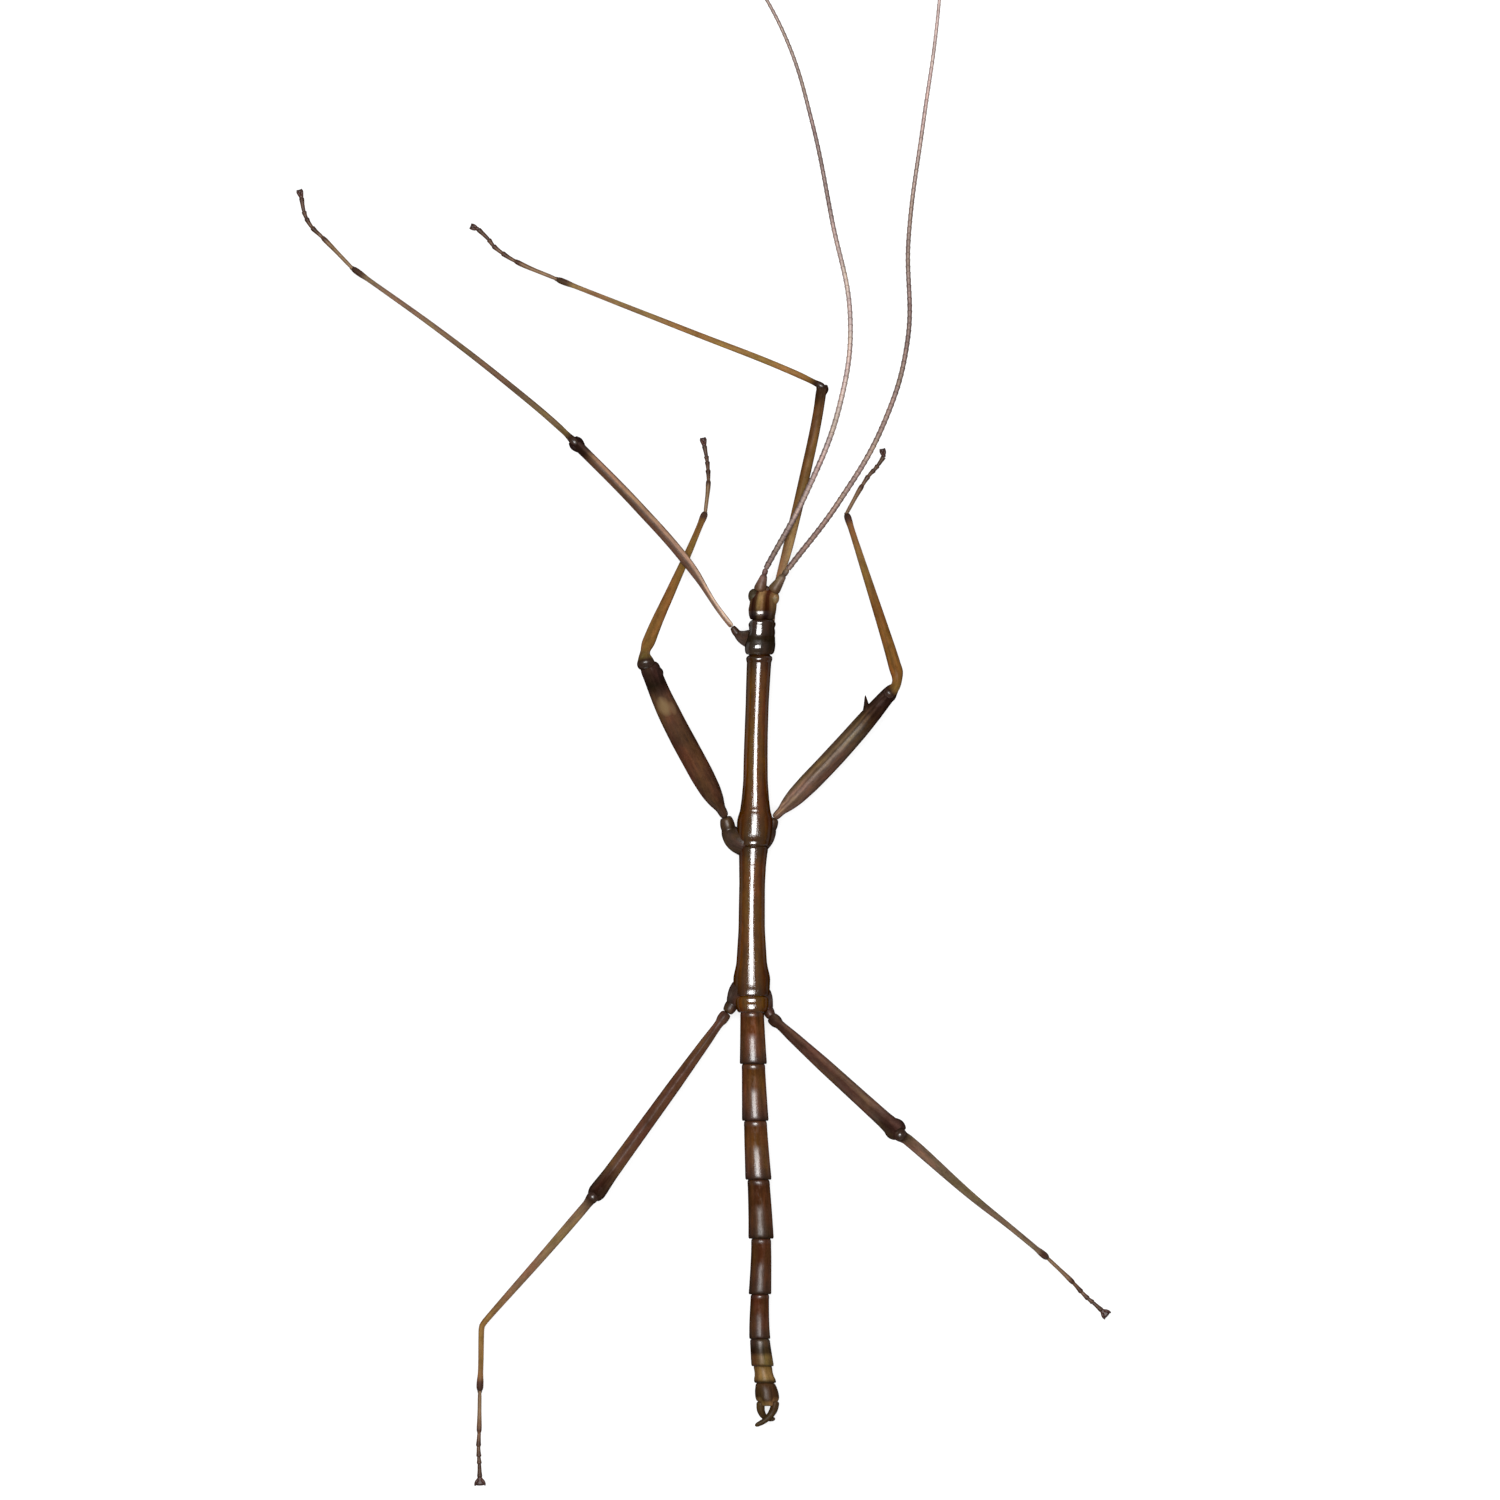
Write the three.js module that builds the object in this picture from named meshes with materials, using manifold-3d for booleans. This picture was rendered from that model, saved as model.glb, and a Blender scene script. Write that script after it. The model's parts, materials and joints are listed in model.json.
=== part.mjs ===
// A northern walkingstick, Diapheromera femorata: an adult male, standing.
// Millimetres. +Z is up, +Y is towards the head and +X is the insect's right.
// The floor is z = 0, and the origin is under the middle of the whole outline.
// Positions are written from the floor below the hind legs' hips, and the
// finished model is moved once, at the end, to put the origin in its place.

import * as THREE from 'three';
import { mergeVertices } from 'three/addons/utils/BufferGeometryUtils.js';
import Module from 'manifold-3d';

const wasm = await Module();
wasm.setup();

// ---------------------------------------------------------------------------
// Driving dimensions
// ---------------------------------------------------------------------------

const GAP = 0.12; // clearance between neighbouring plates
const FEELER = 0.5; // least thickness of the feelers and the tarsi
const TRUNK_SIDES = 14;
const LIMB_SIDES = 8;
const FEELER_SIDES = 6;
const EYE_SIDES = 10;
const EYE_ROWS = 8;
const WELD = 1e-4; // vertices closer than this are one
const FACET = 0.01; // slivers thinner than this are cleaned off after a cut

// The axis of the body, from the tail to the forehead.
const MIDLINE = [
  { y: -35.3, x: 1.4, z: 2.5 },
  { y: -31.7, x: 0.9, z: 2.6 },
  { y: -28.6, x: 0.66, z: 2.65 },
  { y: -20.9, x: 0.82, z: 2.85 },
  { y: -10.4, x: 0.31, z: 3.1 },
  { y: -1.8, x: 0.04, z: 3.3 },
  { y: 12.4, x: 0.04, z: 3.6 },
  { y: 17.0, x: 0.27, z: 3.7 },
  { y: 24.1, x: 0.36, z: 3.85 },
  { y: 31.6, x: 0.66, z: 4.1 },
  { y: 35.0, x: 0.95, z: 4.25 },
  { y: 37.0, x: 1.06, z: 4.3 },
  { y: 37.8, x: 1.3, z: 4.3 },
];

// Plates of the head and thorax. A profile goes from the front to the rear as
// [share of the length, half width, half height above the axis, below it].
const HEAD = {
  front: 37.75,
  rear: 34.95,
  profile: [
    [0, 0.7, 0.45, 0.55],
    [0.08, 1.0, 0.75, 0.85],
    [0.24, 1.18, 0.98, 1.05],
    [0.5, 1.24, 1.12, 1.12],
    [0.78, 1.18, 1.12, 1.08],
    [1, 1.07, 1.0, 0.98],
  ],
};
const PROTHORAX = {
  front: 34.83,
  rear: 31.78,
  profile: [
    [0, 1.08, 1.02, 1.0],
    [0.14, 1.18, 1.1, 1.08],
    [0.4, 1.2, 1.12, 1.12],
    [0.66, 1.33, 1.14, 1.18],
    [0.86, 1.3, 1.1, 1.12],
    [1, 1.18, 1.02, 1.02],
  ],
};
const MESOTHORAX = {
  front: 31.66,
  rear: 14.62,
  profile: [
    [0, 1.14, 1.04, 1.0],
    [0.02, 1.2, 1.12, 1.06],
    [0.05, 1.1, 1.05, 1.02],
    [0.25, 1.05, 1.04, 1.02],
    [0.66, 1.1, 1.06, 1.06],
    [0.76, 1.24, 1.1, 1.14],
    [0.84, 1.44, 1.14, 1.24],
    [0.92, 1.6, 1.16, 1.28],
    [0.97, 1.55, 1.14, 1.24],
    [1, 1.4, 1.08, 1.14],
  ],
};
const METATHORAX = {
  front: 14.5,
  rear: 1.1,
  profile: [
    [0, 1.34, 1.08, 1.14],
    [0.08, 1.27, 1.08, 1.1],
    [0.24, 1.17, 1.06, 1.04],
    [0.55, 1.2, 1.06, 1.06],
    [0.72, 1.34, 1.1, 1.16],
    [0.87, 1.58, 1.14, 1.26],
    [0.95, 1.64, 1.12, 1.24],
    [1, 1.58, 1.1, 1.18],
  ],
};
const MEDIAN_SEGMENT = {
  front: 0.98,
  rear: -0.38,
  profile: [
    [0, 1.54, 1.06, 1.14],
    [0.5, 1.48, 1.05, 1.08],
    [1, 1.26, 1.0, 1.0],
  ],
};

// Rings 2 to 10 of the abdomen: length, greatest width and height of each.
const ABDOMEN_START = -0.5;
const ABDOMEN = [
  { number: 2, length: 4.65, width: 2.44, height: 2.1 },
  { number: 3, length: 5.15, width: 2.4, height: 2.06 },
  { number: 4, length: 5.3, width: 2.36, height: 2.02 },
  { number: 5, length: 5.3, width: 2.28, height: 1.94 },
  { number: 6, length: 5.0, width: 2.04, height: 1.8 },
  { number: 7, length: 4.0, width: 1.9, height: 1.76 },
  { number: 8, length: 2.35, width: 2.06, height: 1.96 },
  { number: 9, length: 1.5, width: 1.92, height: 1.9 },
  { number: 10, length: 1.55, width: 2.1, height: 1.7 },
];
// Each ring of the abdomen starts a little narrower than the one before ends.
const RING_PROFILE = [
  [0, 0.88],
  [0.06, 0.93],
  [0.5, 0.95],
  [0.9, 1],
  [1, 0.97],
];

// The boat-shaped plate under rings 8 and 9.
const POCULUM = {
  front: -30.2,
  rear: -34.1,
  drop: 0.95, // below the axis
  profile: [
    [0, 0.94, 0.42],
    [0.2, 1.54, 0.68],
    [0.7, 1.7, 0.76],
    [1, 1.02, 0.46],
  ],
};

// The claspers at the tail curve in and cross: the right one lies on top.
const CLASPERS = {
  left: [
    [0.77, -35.35, 2.45],
    [0.86, -36.35, 2.3],
    [1.3, -36.85, 2.12],
    [2.1, -36.98, 2.05],
  ],
  right: [
    [2.12, -35.3, 2.5],
    [1.9, -36.2, 2.6],
    [1.25, -37.0, 2.7],
    [0.26, -37.58, 2.65],
  ],
};
const CLASPER_PROFILE = [
  [0, 0.6],
  [0.3, 0.54],
  [0.75, 0.5],
  [1, 0.36],
];

// Eyes: centre of the left and right one, and the three half sizes.
const EYE_PLACES = { left: [0.05, 36.98, 4.42], right: [2.06, 37.02, 4.42] };
const EYE_SIZE = [0.42, 0.46, 0.42];

// Mouthparts hang below the front of the head.
const MOUTH = {
  top: [1.28, 37.15, 3.75],
  bottom: [1.33, 37.45, 2.62],
  profile: [
    [0, 0.9, 0.76],
    [0.55, 1.0, 0.86],
    [1, 0.56, 0.48],
  ],
};

// Feelers: the scape is the thick first joint, then a long flagellum whose
// points run from the end of the scape to the tip.
const SCAPE_PROFILE = [
  [0, 0.6, 0.5],
  [0.15, 0.72, 0.6],
  [0.6, 0.72, 0.6],
  [0.74, 0.52, 0.5],
  [0.86, 0.54, 0.5],
  [1, 0.5, 0.5],
];
const FEELERS = {
  left: {
    scape: [
      [0.67, 37.7, 4.7],
      [1.1, 39.0, 4.9],
      [1.24, 39.5, 4.98],
    ],
    flagellum: [
      [1.26, 39.56, 5.0],
      [4.86, 46.3, 7.1],
      [7.93, 54.4, 8.9],
      [8.82, 62.0, 9.7],
      [7.2, 70.7, 10.1],
      [5.36, 79.7, 10.3],
      [3.1, 87.0, 10.2],
      [-1.4, 95.2, 9.8],
    ],
  },
  right: {
    scape: [
      [2.14, 37.72, 4.85],
      [2.95, 39.0, 5.02],
      [3.22, 39.44, 5.08],
    ],
    flagellum: [
      [3.25, 39.5, 5.1],
      [7.8, 45.5, 6.6],
      [11.9, 52.7, 8.2],
      [13.97, 60.0, 9.3],
      [14.05, 69.0, 9.9],
      [15.4, 79.7, 10.1],
      [16.45, 87.0, 10.0],
      [17.2, 94.8, 9.7],
    ],
  },
};
const FLAGELLUM_LENGTHS = 3; // nodes along each flagellum
const FLAGELLUM_STEPS = 9; // rings along each node

// Profiles of the leg joints, as [share of the length, width, height].
const LEG_SHAPES = {
  fore: {
    coxa: [
      [0, 1.4],
      [0.24, 1.4],
      [0.68, 1.1],
      [0.87, 0.8],
      [1, 0.64],
    ],
    femur: [
      [0, 0.52],
      [0.14, 0.52],
      [0.24, 0.72],
      [0.32, 0.92],
      [0.6, 0.95],
      [0.9, 0.92],
      [0.96, 1.12],
      [1, 0.8],
    ],
    tibia: [
      [0, 0.52],
      [0.04, 0.62],
      [0.3, 0.56],
      [0.6, 0.5],
      [0.94, 0.5],
      [1, 0.56],
    ],
  },
  mid: {
    coxa: [
      [0, 1.9],
      [0.24, 1.9],
      [0.7, 1.5],
      [0.88, 0.95],
      [1, 0.76],
    ],
    femur: [
      [0, 0.8],
      [0.06, 1.0],
      [0.15, 1.6],
      [0.28, 1.98],
      [0.5, 2.1],
      [0.7, 2.0],
      [0.83, 1.85],
      [0.93, 1.9],
      [0.98, 1.7],
      [1, 1.1],
    ],
    tibia: [
      [0, 0.66],
      [0.06, 0.8],
      [0.12, 1.02],
      [0.35, 0.88],
      [0.6, 0.66],
      [0.85, 0.52],
      [1, 0.56],
    ],
  },
  hind: {
    coxa: [
      [0, 1.7],
      [0.3, 1.7],
      [0.66, 1.3],
      [0.87, 0.95],
      [1, 0.76],
    ],
    femur: [
      [0, 0.95],
      [0.03, 1.0],
      [0.07, 0.74],
      [0.16, 0.9],
      [0.4, 1.2],
      [0.7, 1.3],
      [0.9, 1.46],
      [0.96, 1.8],
      [1, 1.4],
    ],
    tibia: [
      [0, 0.62],
      [0.05, 0.82],
      [0.12, 0.92],
      [0.4, 0.78],
      [0.65, 0.6],
      [0.72, 0.56],
      [0.75, 0.55],
      [0.79, 0.53],
      [1, 0.54],
    ],
  },
};

// The five tarsal joints: share of the tarsus, and height of the far end.
const ANKLE_HEIGHT = 0.9;
const TARSUS_JOINTS = [
  { share: 0.48, height: 0.5 },
  { share: 0.16, height: 0.34 },
  { share: 0.12, height: 0.34 },
  { share: 0.08, height: 0.34 },
  { share: 0.16, height: 0.34 },
];
const TARSUS_WAIST = 0.5; // thickness at the near end of each joint
const TARSUS_SWELL = 0.58; // thickness at the far end
const TARSUS_INSET = 0.12; // how far each joint stops short of its ends

// The foot: a small pad that is cut flat on the floor, and two claws.
const PAD = {
  length: 0.62,
  middle: 0.21, // height of its axis
  clawShare: 0.45, // where the claws start along it
  profile: [
    [0, 0.42, 0.42],
    [0.3, 0.6, 0.48],
    [0.75, 0.6, 0.48],
    [1, 0.42, 0.42],
  ],
};
const CLAW = {
  length: 0.62,
  spread: 34, // degrees to either side
  rise: 0.3, // height of the root
  drop: 0.06, // height of the tip
  arch: 0.6, // share of the length that stays level
  profile: [
    [0, 0.26],
    [0.5, 0.2],
    [1, 0.12],
  ],
};
const FLOOR = { size: 4, depth: 1 }; // block that trims a foot

// Legs. The hip is inside the thorax, the elbow is the turn of the coxa, and
// the tarsus turns give the heading of each of its joints in degrees from +Y
// towards +X. A bend is a place where a joint leaves the straight line from
// end to end: [share of the length, how far to the left, how far up].
const LEGS = {
  fore_left: {
    shape: 'fore',
    hip: [0.2, 33.1, 3.8],
    elbow: [-1.15, 33.55, 3.35],
    base: [-1.8, 34.3, 3.4],
    knee: [-15.55, 50.6, 7.9],
    ankle: [-36.0, 66.6],
    femurBends: [
      [0.1, -0.1, -0.2],
      [0.3, -0.62, -0.15],
      [0.65, -0.58, 0],
    ],
    tibiaBends: [
      [0.3, -0.3, 0],
      [0.6, -0.36, 0],
    ],
    tarsusLength: 8.0,
    tarsusTurns: [-44, -46, -32, -20, -16],
  },
  fore_right: {
    shape: 'fore',
    hip: [0.8, 32.2, 3.4],
    elbow: [1.56, 33.2, 3.06],
    base: [1.76, 34.3, 3.0],
    knee: [6.21, 55.9, 7.9],
    ankle: [-17.6, 65.6],
    femurBends: [
      [0.12, 0.3, -0.45],
      [0.3, 0.04, -0.25],
      [0.65, 0, 0],
    ],
    tibiaBends: [],
    tarsusLength: 8.5,
    tarsusTurns: [-66.5, -58, -50, -38, -45],
  },
  mid_left: {
    shape: 'mid',
    hip: [-0.3, 14.7, 3.3],
    elbow: [-1.8, 15.6, 3.05],
    base: [-2.4, 17.2, 3.3],
    knee: [-9.36, 31.05, 9.4],
    ankle: [-4.2, 44.6],
    femurBends: [
      [0.3, 0.2, 0],
      [0.75, 0.3, 0],
    ],
    tibiaBends: [
      [0.05, 0.42, 0],
      [0.15, 0.62, 0],
      [0.5, 0.45, 0],
      [0.75, 0.2, 0],
    ],
    tarsusLength: 6.05,
    tarsusTurns: [5.5, -2, -6, -9, -11],
    spine: [0.82, 0.3, -0.9],
  },
  mid_right: {
    shape: 'mid',
    hip: [0.3, 14.7, 3.1],
    elbow: [1.4, 15.8, 2.9],
    base: [2.0, 17.1, 3.1],
    knee: [12.92, 28.98, 6.3],
    ankle: [8.5, 44.5],
    femurBends: [[0.5, -0.22, 0]],
    tibiaBends: [],
    tarsusLength: 6.35,
    tarsusTurns: [29.5, 35, 43, 39, 11],
    width: 0.88,
    spine: [0.8, 0.95, -0.3],
  },
  hind_left: {
    shape: 'hind',
    hip: [-0.7, 1.9, 3.1],
    elbow: [-1.55, 0.7, 2.75],
    base: [-2.25, -0.4, 2.85],
    knee: [-13.95, -16.55, 5.8],
    ankle: [-24.5, -34.5],
    femurBends: [],
    tibiaBends: [
      [0.36, -1.42, 0],
      [0.7, -2.74, 0],
      [0.745, -2.88, 0],
      [0.79, -2.5, 0],
      [0.9, -1.2, 0],
    ],
    tarsusLength: 7.75,
    tarsusTurns: [181, 182, 178, 177, 178],
  },
  hind_right: {
    shape: 'hind',
    hip: [0.7, 1.4, 3.0],
    elbow: [1.2, 0.3, 2.65],
    base: [1.77, -0.84, 3.0],
    knee: [13.2, -11.15, 14.9],
    ankle: [26.6, -22.5],
    femurBends: [],
    tibiaBends: [[0.5, -0.25, 0]],
    tarsusLength: 6.8,
    tarsusTurns: [134, 138, 135, 129, 132],
  },
};
const SPINE = {
  length: 1.3,
  root: 0.3, // distance of its foot from the middle of the femur
  lean: 0.6, // forward lean
  profile: [
    [0, 0.46],
    [1, 0.16],
  ],
};

const COLOURS = {
  trunk: 0x4a3422,
  abdomen: 0x5a4329,
  head: 0x54452c,
  eye: 0x5d5a40,
  feeler: 0x9c8780,
  dark: 0x33241c,
  fore: 0x7a6148,
  mid: 0x4b3524,
  hind: 0x5b4330,
  shin: 0x83643c,
};

// ---------------------------------------------------------------------------
// Geometry helpers
// ---------------------------------------------------------------------------

const UP = new THREE.Vector3(0, 0, 1);

function point(values) {
  return new THREE.Vector3(values[0], values[1], values[2]);
}

// A ring is an oval about a centre, square to the direction it is lofted in.
function ringAt(at, along, width, above, below = above) {
  const across = along.clone().cross(UP).normalize();
  const up = across.clone().cross(along).normalize();
  return { at, along: along.clone().normalize(), across, up, half: width / 2, above, below };
}

// A closed solid through a row of rings, with a flat face at each end.
function loft(rings, sides) {
  const positions = [];
  for (const ring of rings) {
    for (let side = 0; side < sides; side += 1) {
      const turn = (2 * Math.PI * side) / sides;
      const lift = Math.sin(turn);
      const height = lift > 0 ? ring.above : ring.below;
      const spot = ring.at
        .clone()
        .addScaledVector(ring.across, ring.half * Math.cos(turn))
        .addScaledVector(ring.up, height * lift);
      positions.push(spot.x, spot.y, spot.z);
    }
  }
  const index = [];
  for (let row = 0; row < rings.length - 1; row += 1) {
    for (let side = 0; side < sides; side += 1) {
      const here = row * sides + side;
      const next = row * sides + ((side + 1) % sides);
      index.push(here, here + sides, next, next, here + sides, next + sides);
    }
  }
  const lastRow = (rings.length - 1) * sides;
  for (let side = 1; side < sides - 1; side += 1) {
    index.push(0, side, side + 1);
    index.push(lastRow, lastRow + side + 1, lastRow + side);
  }
  const geometry = new THREE.BufferGeometry();
  geometry.setAttribute('position', new THREE.Float32BufferAttribute(positions, 3));
  geometry.setIndex(index);
  return geometry;
}

// The same rings, larger all round and longer at both ends.
function swollen(rings, by) {
  return rings.map((ring, row) => {
    const isEnd = row === rings.length - 1;
    const shift = (isEnd ? by : 0) - (row === 0 ? by : 0);
    return {
      ...ring,
      at: ring.at.clone().addScaledVector(ring.along, shift),
      half: ring.half + by,
      above: ring.above + by,
      below: ring.below + by,
    };
  });
}

// Rings along a curve, from a profile of [share, width, height].
function ringsAlong(curve, profile, stretch = 1) {
  return profile.map(([share, width, height = width]) => {
    const at = curve.getPointAt(share);
    const along = curve.getTangentAt(share);
    return ringAt(at, along, width * stretch, height / 2);
  });
}

function solidOf(geometry) {
  const bare = new THREE.BufferGeometry();
  bare.setAttribute('position', geometry.getAttribute('position'));
  bare.setIndex(geometry.getIndex());
  const merged = mergeVertices(bare, WELD);
  return new wasm.Manifold(
    new wasm.Mesh({
      numProp: 3,
      vertProperties: merged.getAttribute('position').array,
      triVerts: new Uint32Array(merged.getIndex().array),
    }),
  );
}

function geometryOf(solid) {
  const mesh = solid.getMesh();
  const geometry = new THREE.BufferGeometry();
  geometry.setAttribute('position', new THREE.Float32BufferAttribute(mesh.vertProperties, 3));
  geometry.setIndex(new THREE.Uint32BufferAttribute(mesh.triVerts, 1));
  return geometry;
}

// What is left of a solid once its neighbours, each with a gap round it, are
// cut away. Crumbs are dropped, so the largest piece is the one kept.
function cutClear(geometry, neighbours) {
  let solid = solidOf(geometry);
  for (const neighbour of neighbours) {
    solid = solid.subtract(solidOf(neighbour));
  }
  const pieces = solid.decompose();
  pieces.sort((a, b) => b.volume() - a.volume());
  return geometryOf(pieces[0].simplify(FACET));
}

function joined(geometries) {
  let solid = solidOf(geometries[0]);
  for (const geometry of geometries.slice(1)) {
    solid = solid.add(solidOf(geometry));
  }
  return geometryOf(solid.simplify(FACET));
}

const insect = new THREE.Group();

function addPart(name, geometry, colour, roughness = 0.35) {
  const shown = geometry.toNonIndexed();
  shown.computeVertexNormals();
  const material = new THREE.MeshStandardMaterial({ color: colour, roughness, metalness: 0 });
  const mesh = new THREE.Mesh(shown, material);
  mesh.name = name;
  insect.add(mesh);
}

// ---------------------------------------------------------------------------
// Trunk: head, thorax and abdomen
// ---------------------------------------------------------------------------

const midline = new THREE.CubicInterpolant(
  MIDLINE.map((knot) => knot.y),
  MIDLINE.flatMap((knot) => [knot.x, knot.z]),
  2,
);

function axisAt(y) {
  const [x, z] = midline.evaluate(y);
  return new THREE.Vector3(x, y, z);
}

// Rings of a trunk plate stand upright, so neighbours meet on parallel faces.
const REARWARD = new THREE.Vector3(0, -1, 0);

function plateRings({ front, rear, profile }) {
  return profile.map(([share, halfWidth, above, below]) => {
    const y = THREE.MathUtils.lerp(front, rear, share);
    return ringAt(axisAt(y), REARWARD, 2 * halfWidth, above, below);
  });
}

function abdomenRings({ width, height }, front, rear) {
  return RING_PROFILE.map(([share, size]) => {
    const y = THREE.MathUtils.lerp(front, rear, share);
    return ringAt(axisAt(y), REARWARD, width * size, (height / 2) * size);
  });
}

const thorax = {
  fore: plateRings(PROTHORAX),
  mid: plateRings(MESOTHORAX),
  hind: plateRings(METATHORAX),
};
const headRings = plateRings(HEAD);
const medianRings = plateRings(MEDIAN_SEGMENT);
const trunkPlates = [thorax.fore, thorax.mid, thorax.hind, medianRings];

addPart('prothorax', loft(thorax.fore, TRUNK_SIDES), COLOURS.dark);
addPart('mesothorax', loft(thorax.mid, TRUNK_SIDES), COLOURS.trunk);
addPart('metathorax', loft(thorax.hind, TRUNK_SIDES), COLOURS.trunk);
addPart('abdomen_1', loft(medianRings, TRUNK_SIDES), COLOURS.trunk);

let ringFront = ABDOMEN_START;
const tailRings = [];
for (const ring of ABDOMEN) {
  const ringRear = ringFront - ring.length + GAP;
  const rings = abdomenRings(ring, ringFront, ringRear);
  addPart(`abdomen_${ring.number}`, loft(rings, TRUNK_SIDES), COLOURS.abdomen);
  tailRings.push(rings);
  ringFront -= ring.length;
}

function poculumRings() {
  return POCULUM.profile.map(([share, width, height]) => {
    const y = THREE.MathUtils.lerp(POCULUM.front, POCULUM.rear, share);
    const at = axisAt(y);
    at.z -= POCULUM.drop;
    return ringAt(at, REARWARD, width, height / 2);
  });
}

const tailGaps = tailRings.map((rings) => loft(swollen(rings, GAP), TRUNK_SIDES));
addPart('poculum', cutClear(loft(poculumRings(), LIMB_SIDES), tailGaps), COLOURS.abdomen);

for (const [side, points] of Object.entries(CLASPERS)) {
  const curve = new THREE.CatmullRomCurve3(points.map(point));
  const rings = ringsAlong(curve, CLASPER_PROFILE);
  addPart(`cercus_${side}`, cutClear(loft(rings, LIMB_SIDES), tailGaps), COLOURS.dark);
}

// ---------------------------------------------------------------------------
// Head: capsule, eyes, mouthparts and feelers
// ---------------------------------------------------------------------------

addPart('head', loft(headRings, TRUNK_SIDES), COLOURS.head);
const headGap = loft(swollen(headRings, GAP), TRUNK_SIDES);

for (const [side, place] of Object.entries(EYE_PLACES)) {
  const ball = new THREE.SphereGeometry(1, EYE_SIDES, EYE_ROWS);
  ball.scale(...EYE_SIZE);
  ball.translate(...place);
  addPart(`eye_${side}`, cutClear(ball, [headGap]), COLOURS.eye, 0.2);
}

const mouthLine = new THREE.LineCurve3(point(MOUTH.top), point(MOUTH.bottom));
const mouthSolid = loft(ringsAlong(mouthLine, MOUTH.profile), LIMB_SIDES);
addPart('mouthparts', cutClear(mouthSolid, [headGap]), COLOURS.dark);

for (const [side, { scape, flagellum }] of Object.entries(FEELERS)) {
  const scapeCurve = new THREE.CatmullRomCurve3(scape.map(point));
  const scapeRings = ringsAlong(scapeCurve, SCAPE_PROFILE);
  const scapeSolid = cutClear(loft(scapeRings, LIMB_SIDES), [headGap]);
  addPart(`antenna_${side}_scape`, scapeSolid, COLOURS.feeler);

  const curve = new THREE.CatmullRomCurve3(flagellum.map(point));
  const pause = GAP / curve.getLength();
  for (let part = 0; part < FLAGELLUM_LENGTHS; part += 1) {
    const start = part / FLAGELLUM_LENGTHS + pause;
    const end = (part + 1) / FLAGELLUM_LENGTHS;
    const profile = [];
    for (let step = 0; step < FLAGELLUM_STEPS; step += 1) {
      const share = THREE.MathUtils.lerp(start, end, step / (FLAGELLUM_STEPS - 1));
      profile.push([share, FEELER]);
    }
    const rings = ringsAlong(curve, profile);
    addPart(`antenna_${side}_${part + 1}`, loft(rings, FEELER_SIDES), COLOURS.feeler);
  }
}

// ---------------------------------------------------------------------------
// Legs
// ---------------------------------------------------------------------------

// A curve from one joint to the next, through its bends.
function bentCurve(from, to, bends) {
  const along = to.clone().sub(from).normalize();
  const leftward = UP.clone().cross(along).normalize();
  const places = bends.map(([share, left, lift]) =>
    from.clone().lerp(to, share).addScaledVector(leftward, left).addScaledVector(UP, lift),
  );
  return new THREE.CatmullRomCurve3([from, ...places, to]);
}

function heading(degrees) {
  const turn = THREE.MathUtils.degToRad(degrees);
  return new THREE.Vector3(Math.sin(turn), Math.cos(turn), 0);
}

// Ends of the five tarsal joints: the first slopes down, the rest lie low.
function tarsusPoints(leg, ankle) {
  const points = [ankle];
  TARSUS_JOINTS.forEach(({ share, height }, joint) => {
    const aim = heading(leg.tarsusTurns[joint]);
    const end = points[joint].clone().addScaledVector(aim, share * leg.tarsusLength);
    points.push(end.setZ(height));
  });
  return points;
}

// Each tarsal joint swells towards its far end, like a link of a chain.
function tarsusRings(points) {
  const rings = [];
  for (let joint = 0; joint < points.length - 1; joint += 1) {
    const along = points[joint + 1].clone().sub(points[joint]).normalize();
    const from = points[joint].clone().addScaledVector(along, TARSUS_INSET);
    const to = points[joint + 1].clone().addScaledVector(along, -TARSUS_INSET);
    rings.push(ringAt(from, along, TARSUS_WAIST, TARSUS_WAIST / 2));
    rings.push(ringAt(to, along, TARSUS_SWELL, TARSUS_SWELL / 2));
  }
  return rings;
}

function clawGeometry(tip, direction, side) {
  const turn = THREE.MathUtils.degToRad(CLAW.spread * side);
  const outward = direction.clone().applyAxisAngle(UP, turn);
  const root = tip.clone().setZ(CLAW.rise);
  const arch = root.clone().addScaledVector(outward, CLAW.length * CLAW.arch);
  const end = root.clone().addScaledVector(outward, CLAW.length);
  const curve = new THREE.QuadraticBezierCurve3(root, arch, end.setZ(CLAW.drop));
  return loft(ringsAlong(curve, CLAW.profile), FEELER_SIDES);
}

function footGeometry(tip, direction) {
  const heel = tip.clone().setZ(PAD.middle);
  const toe = heel.clone().addScaledVector(direction, PAD.length);
  const pad = loft(ringsAlong(new THREE.LineCurve3(heel, toe), PAD.profile), LIMB_SIDES);
  const clawRoot = heel.clone().lerp(toe, PAD.clawShare);
  const whole = joined([
    pad,
    clawGeometry(clawRoot, direction, 1),
    clawGeometry(clawRoot, direction, -1),
  ]);
  const floor = new THREE.BoxGeometry(FLOOR.size, FLOOR.size, FLOOR.depth);
  floor.translate(tip.x, tip.y, -FLOOR.depth / 2);
  return cutClear(whole, [floor]);
}

// The spine of a middle femur leans forward from its lower, inner side.
function spineGeometry(curve, [share, inward, lift]) {
  const along = curve.getTangentAt(share);
  const side = Math.sign(curve.getPointAt(1).x);
  const leftward = UP.clone().cross(along).normalize();
  const aim = along
    .clone()
    .multiplyScalar(SPINE.lean)
    .addScaledVector(leftward, inward * side)
    .addScaledVector(UP, lift)
    .normalize();
  const start = curve.getPointAt(share).addScaledVector(aim, SPINE.root);
  const end = start.clone().addScaledVector(aim, SPINE.length);
  return loft(ringsAlong(new THREE.LineCurve3(start, end), SPINE.profile), FEELER_SIDES);
}

const trunkGaps = trunkPlates.map((rings) => loft(swollen(rings, GAP), TRUNK_SIDES));

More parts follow.
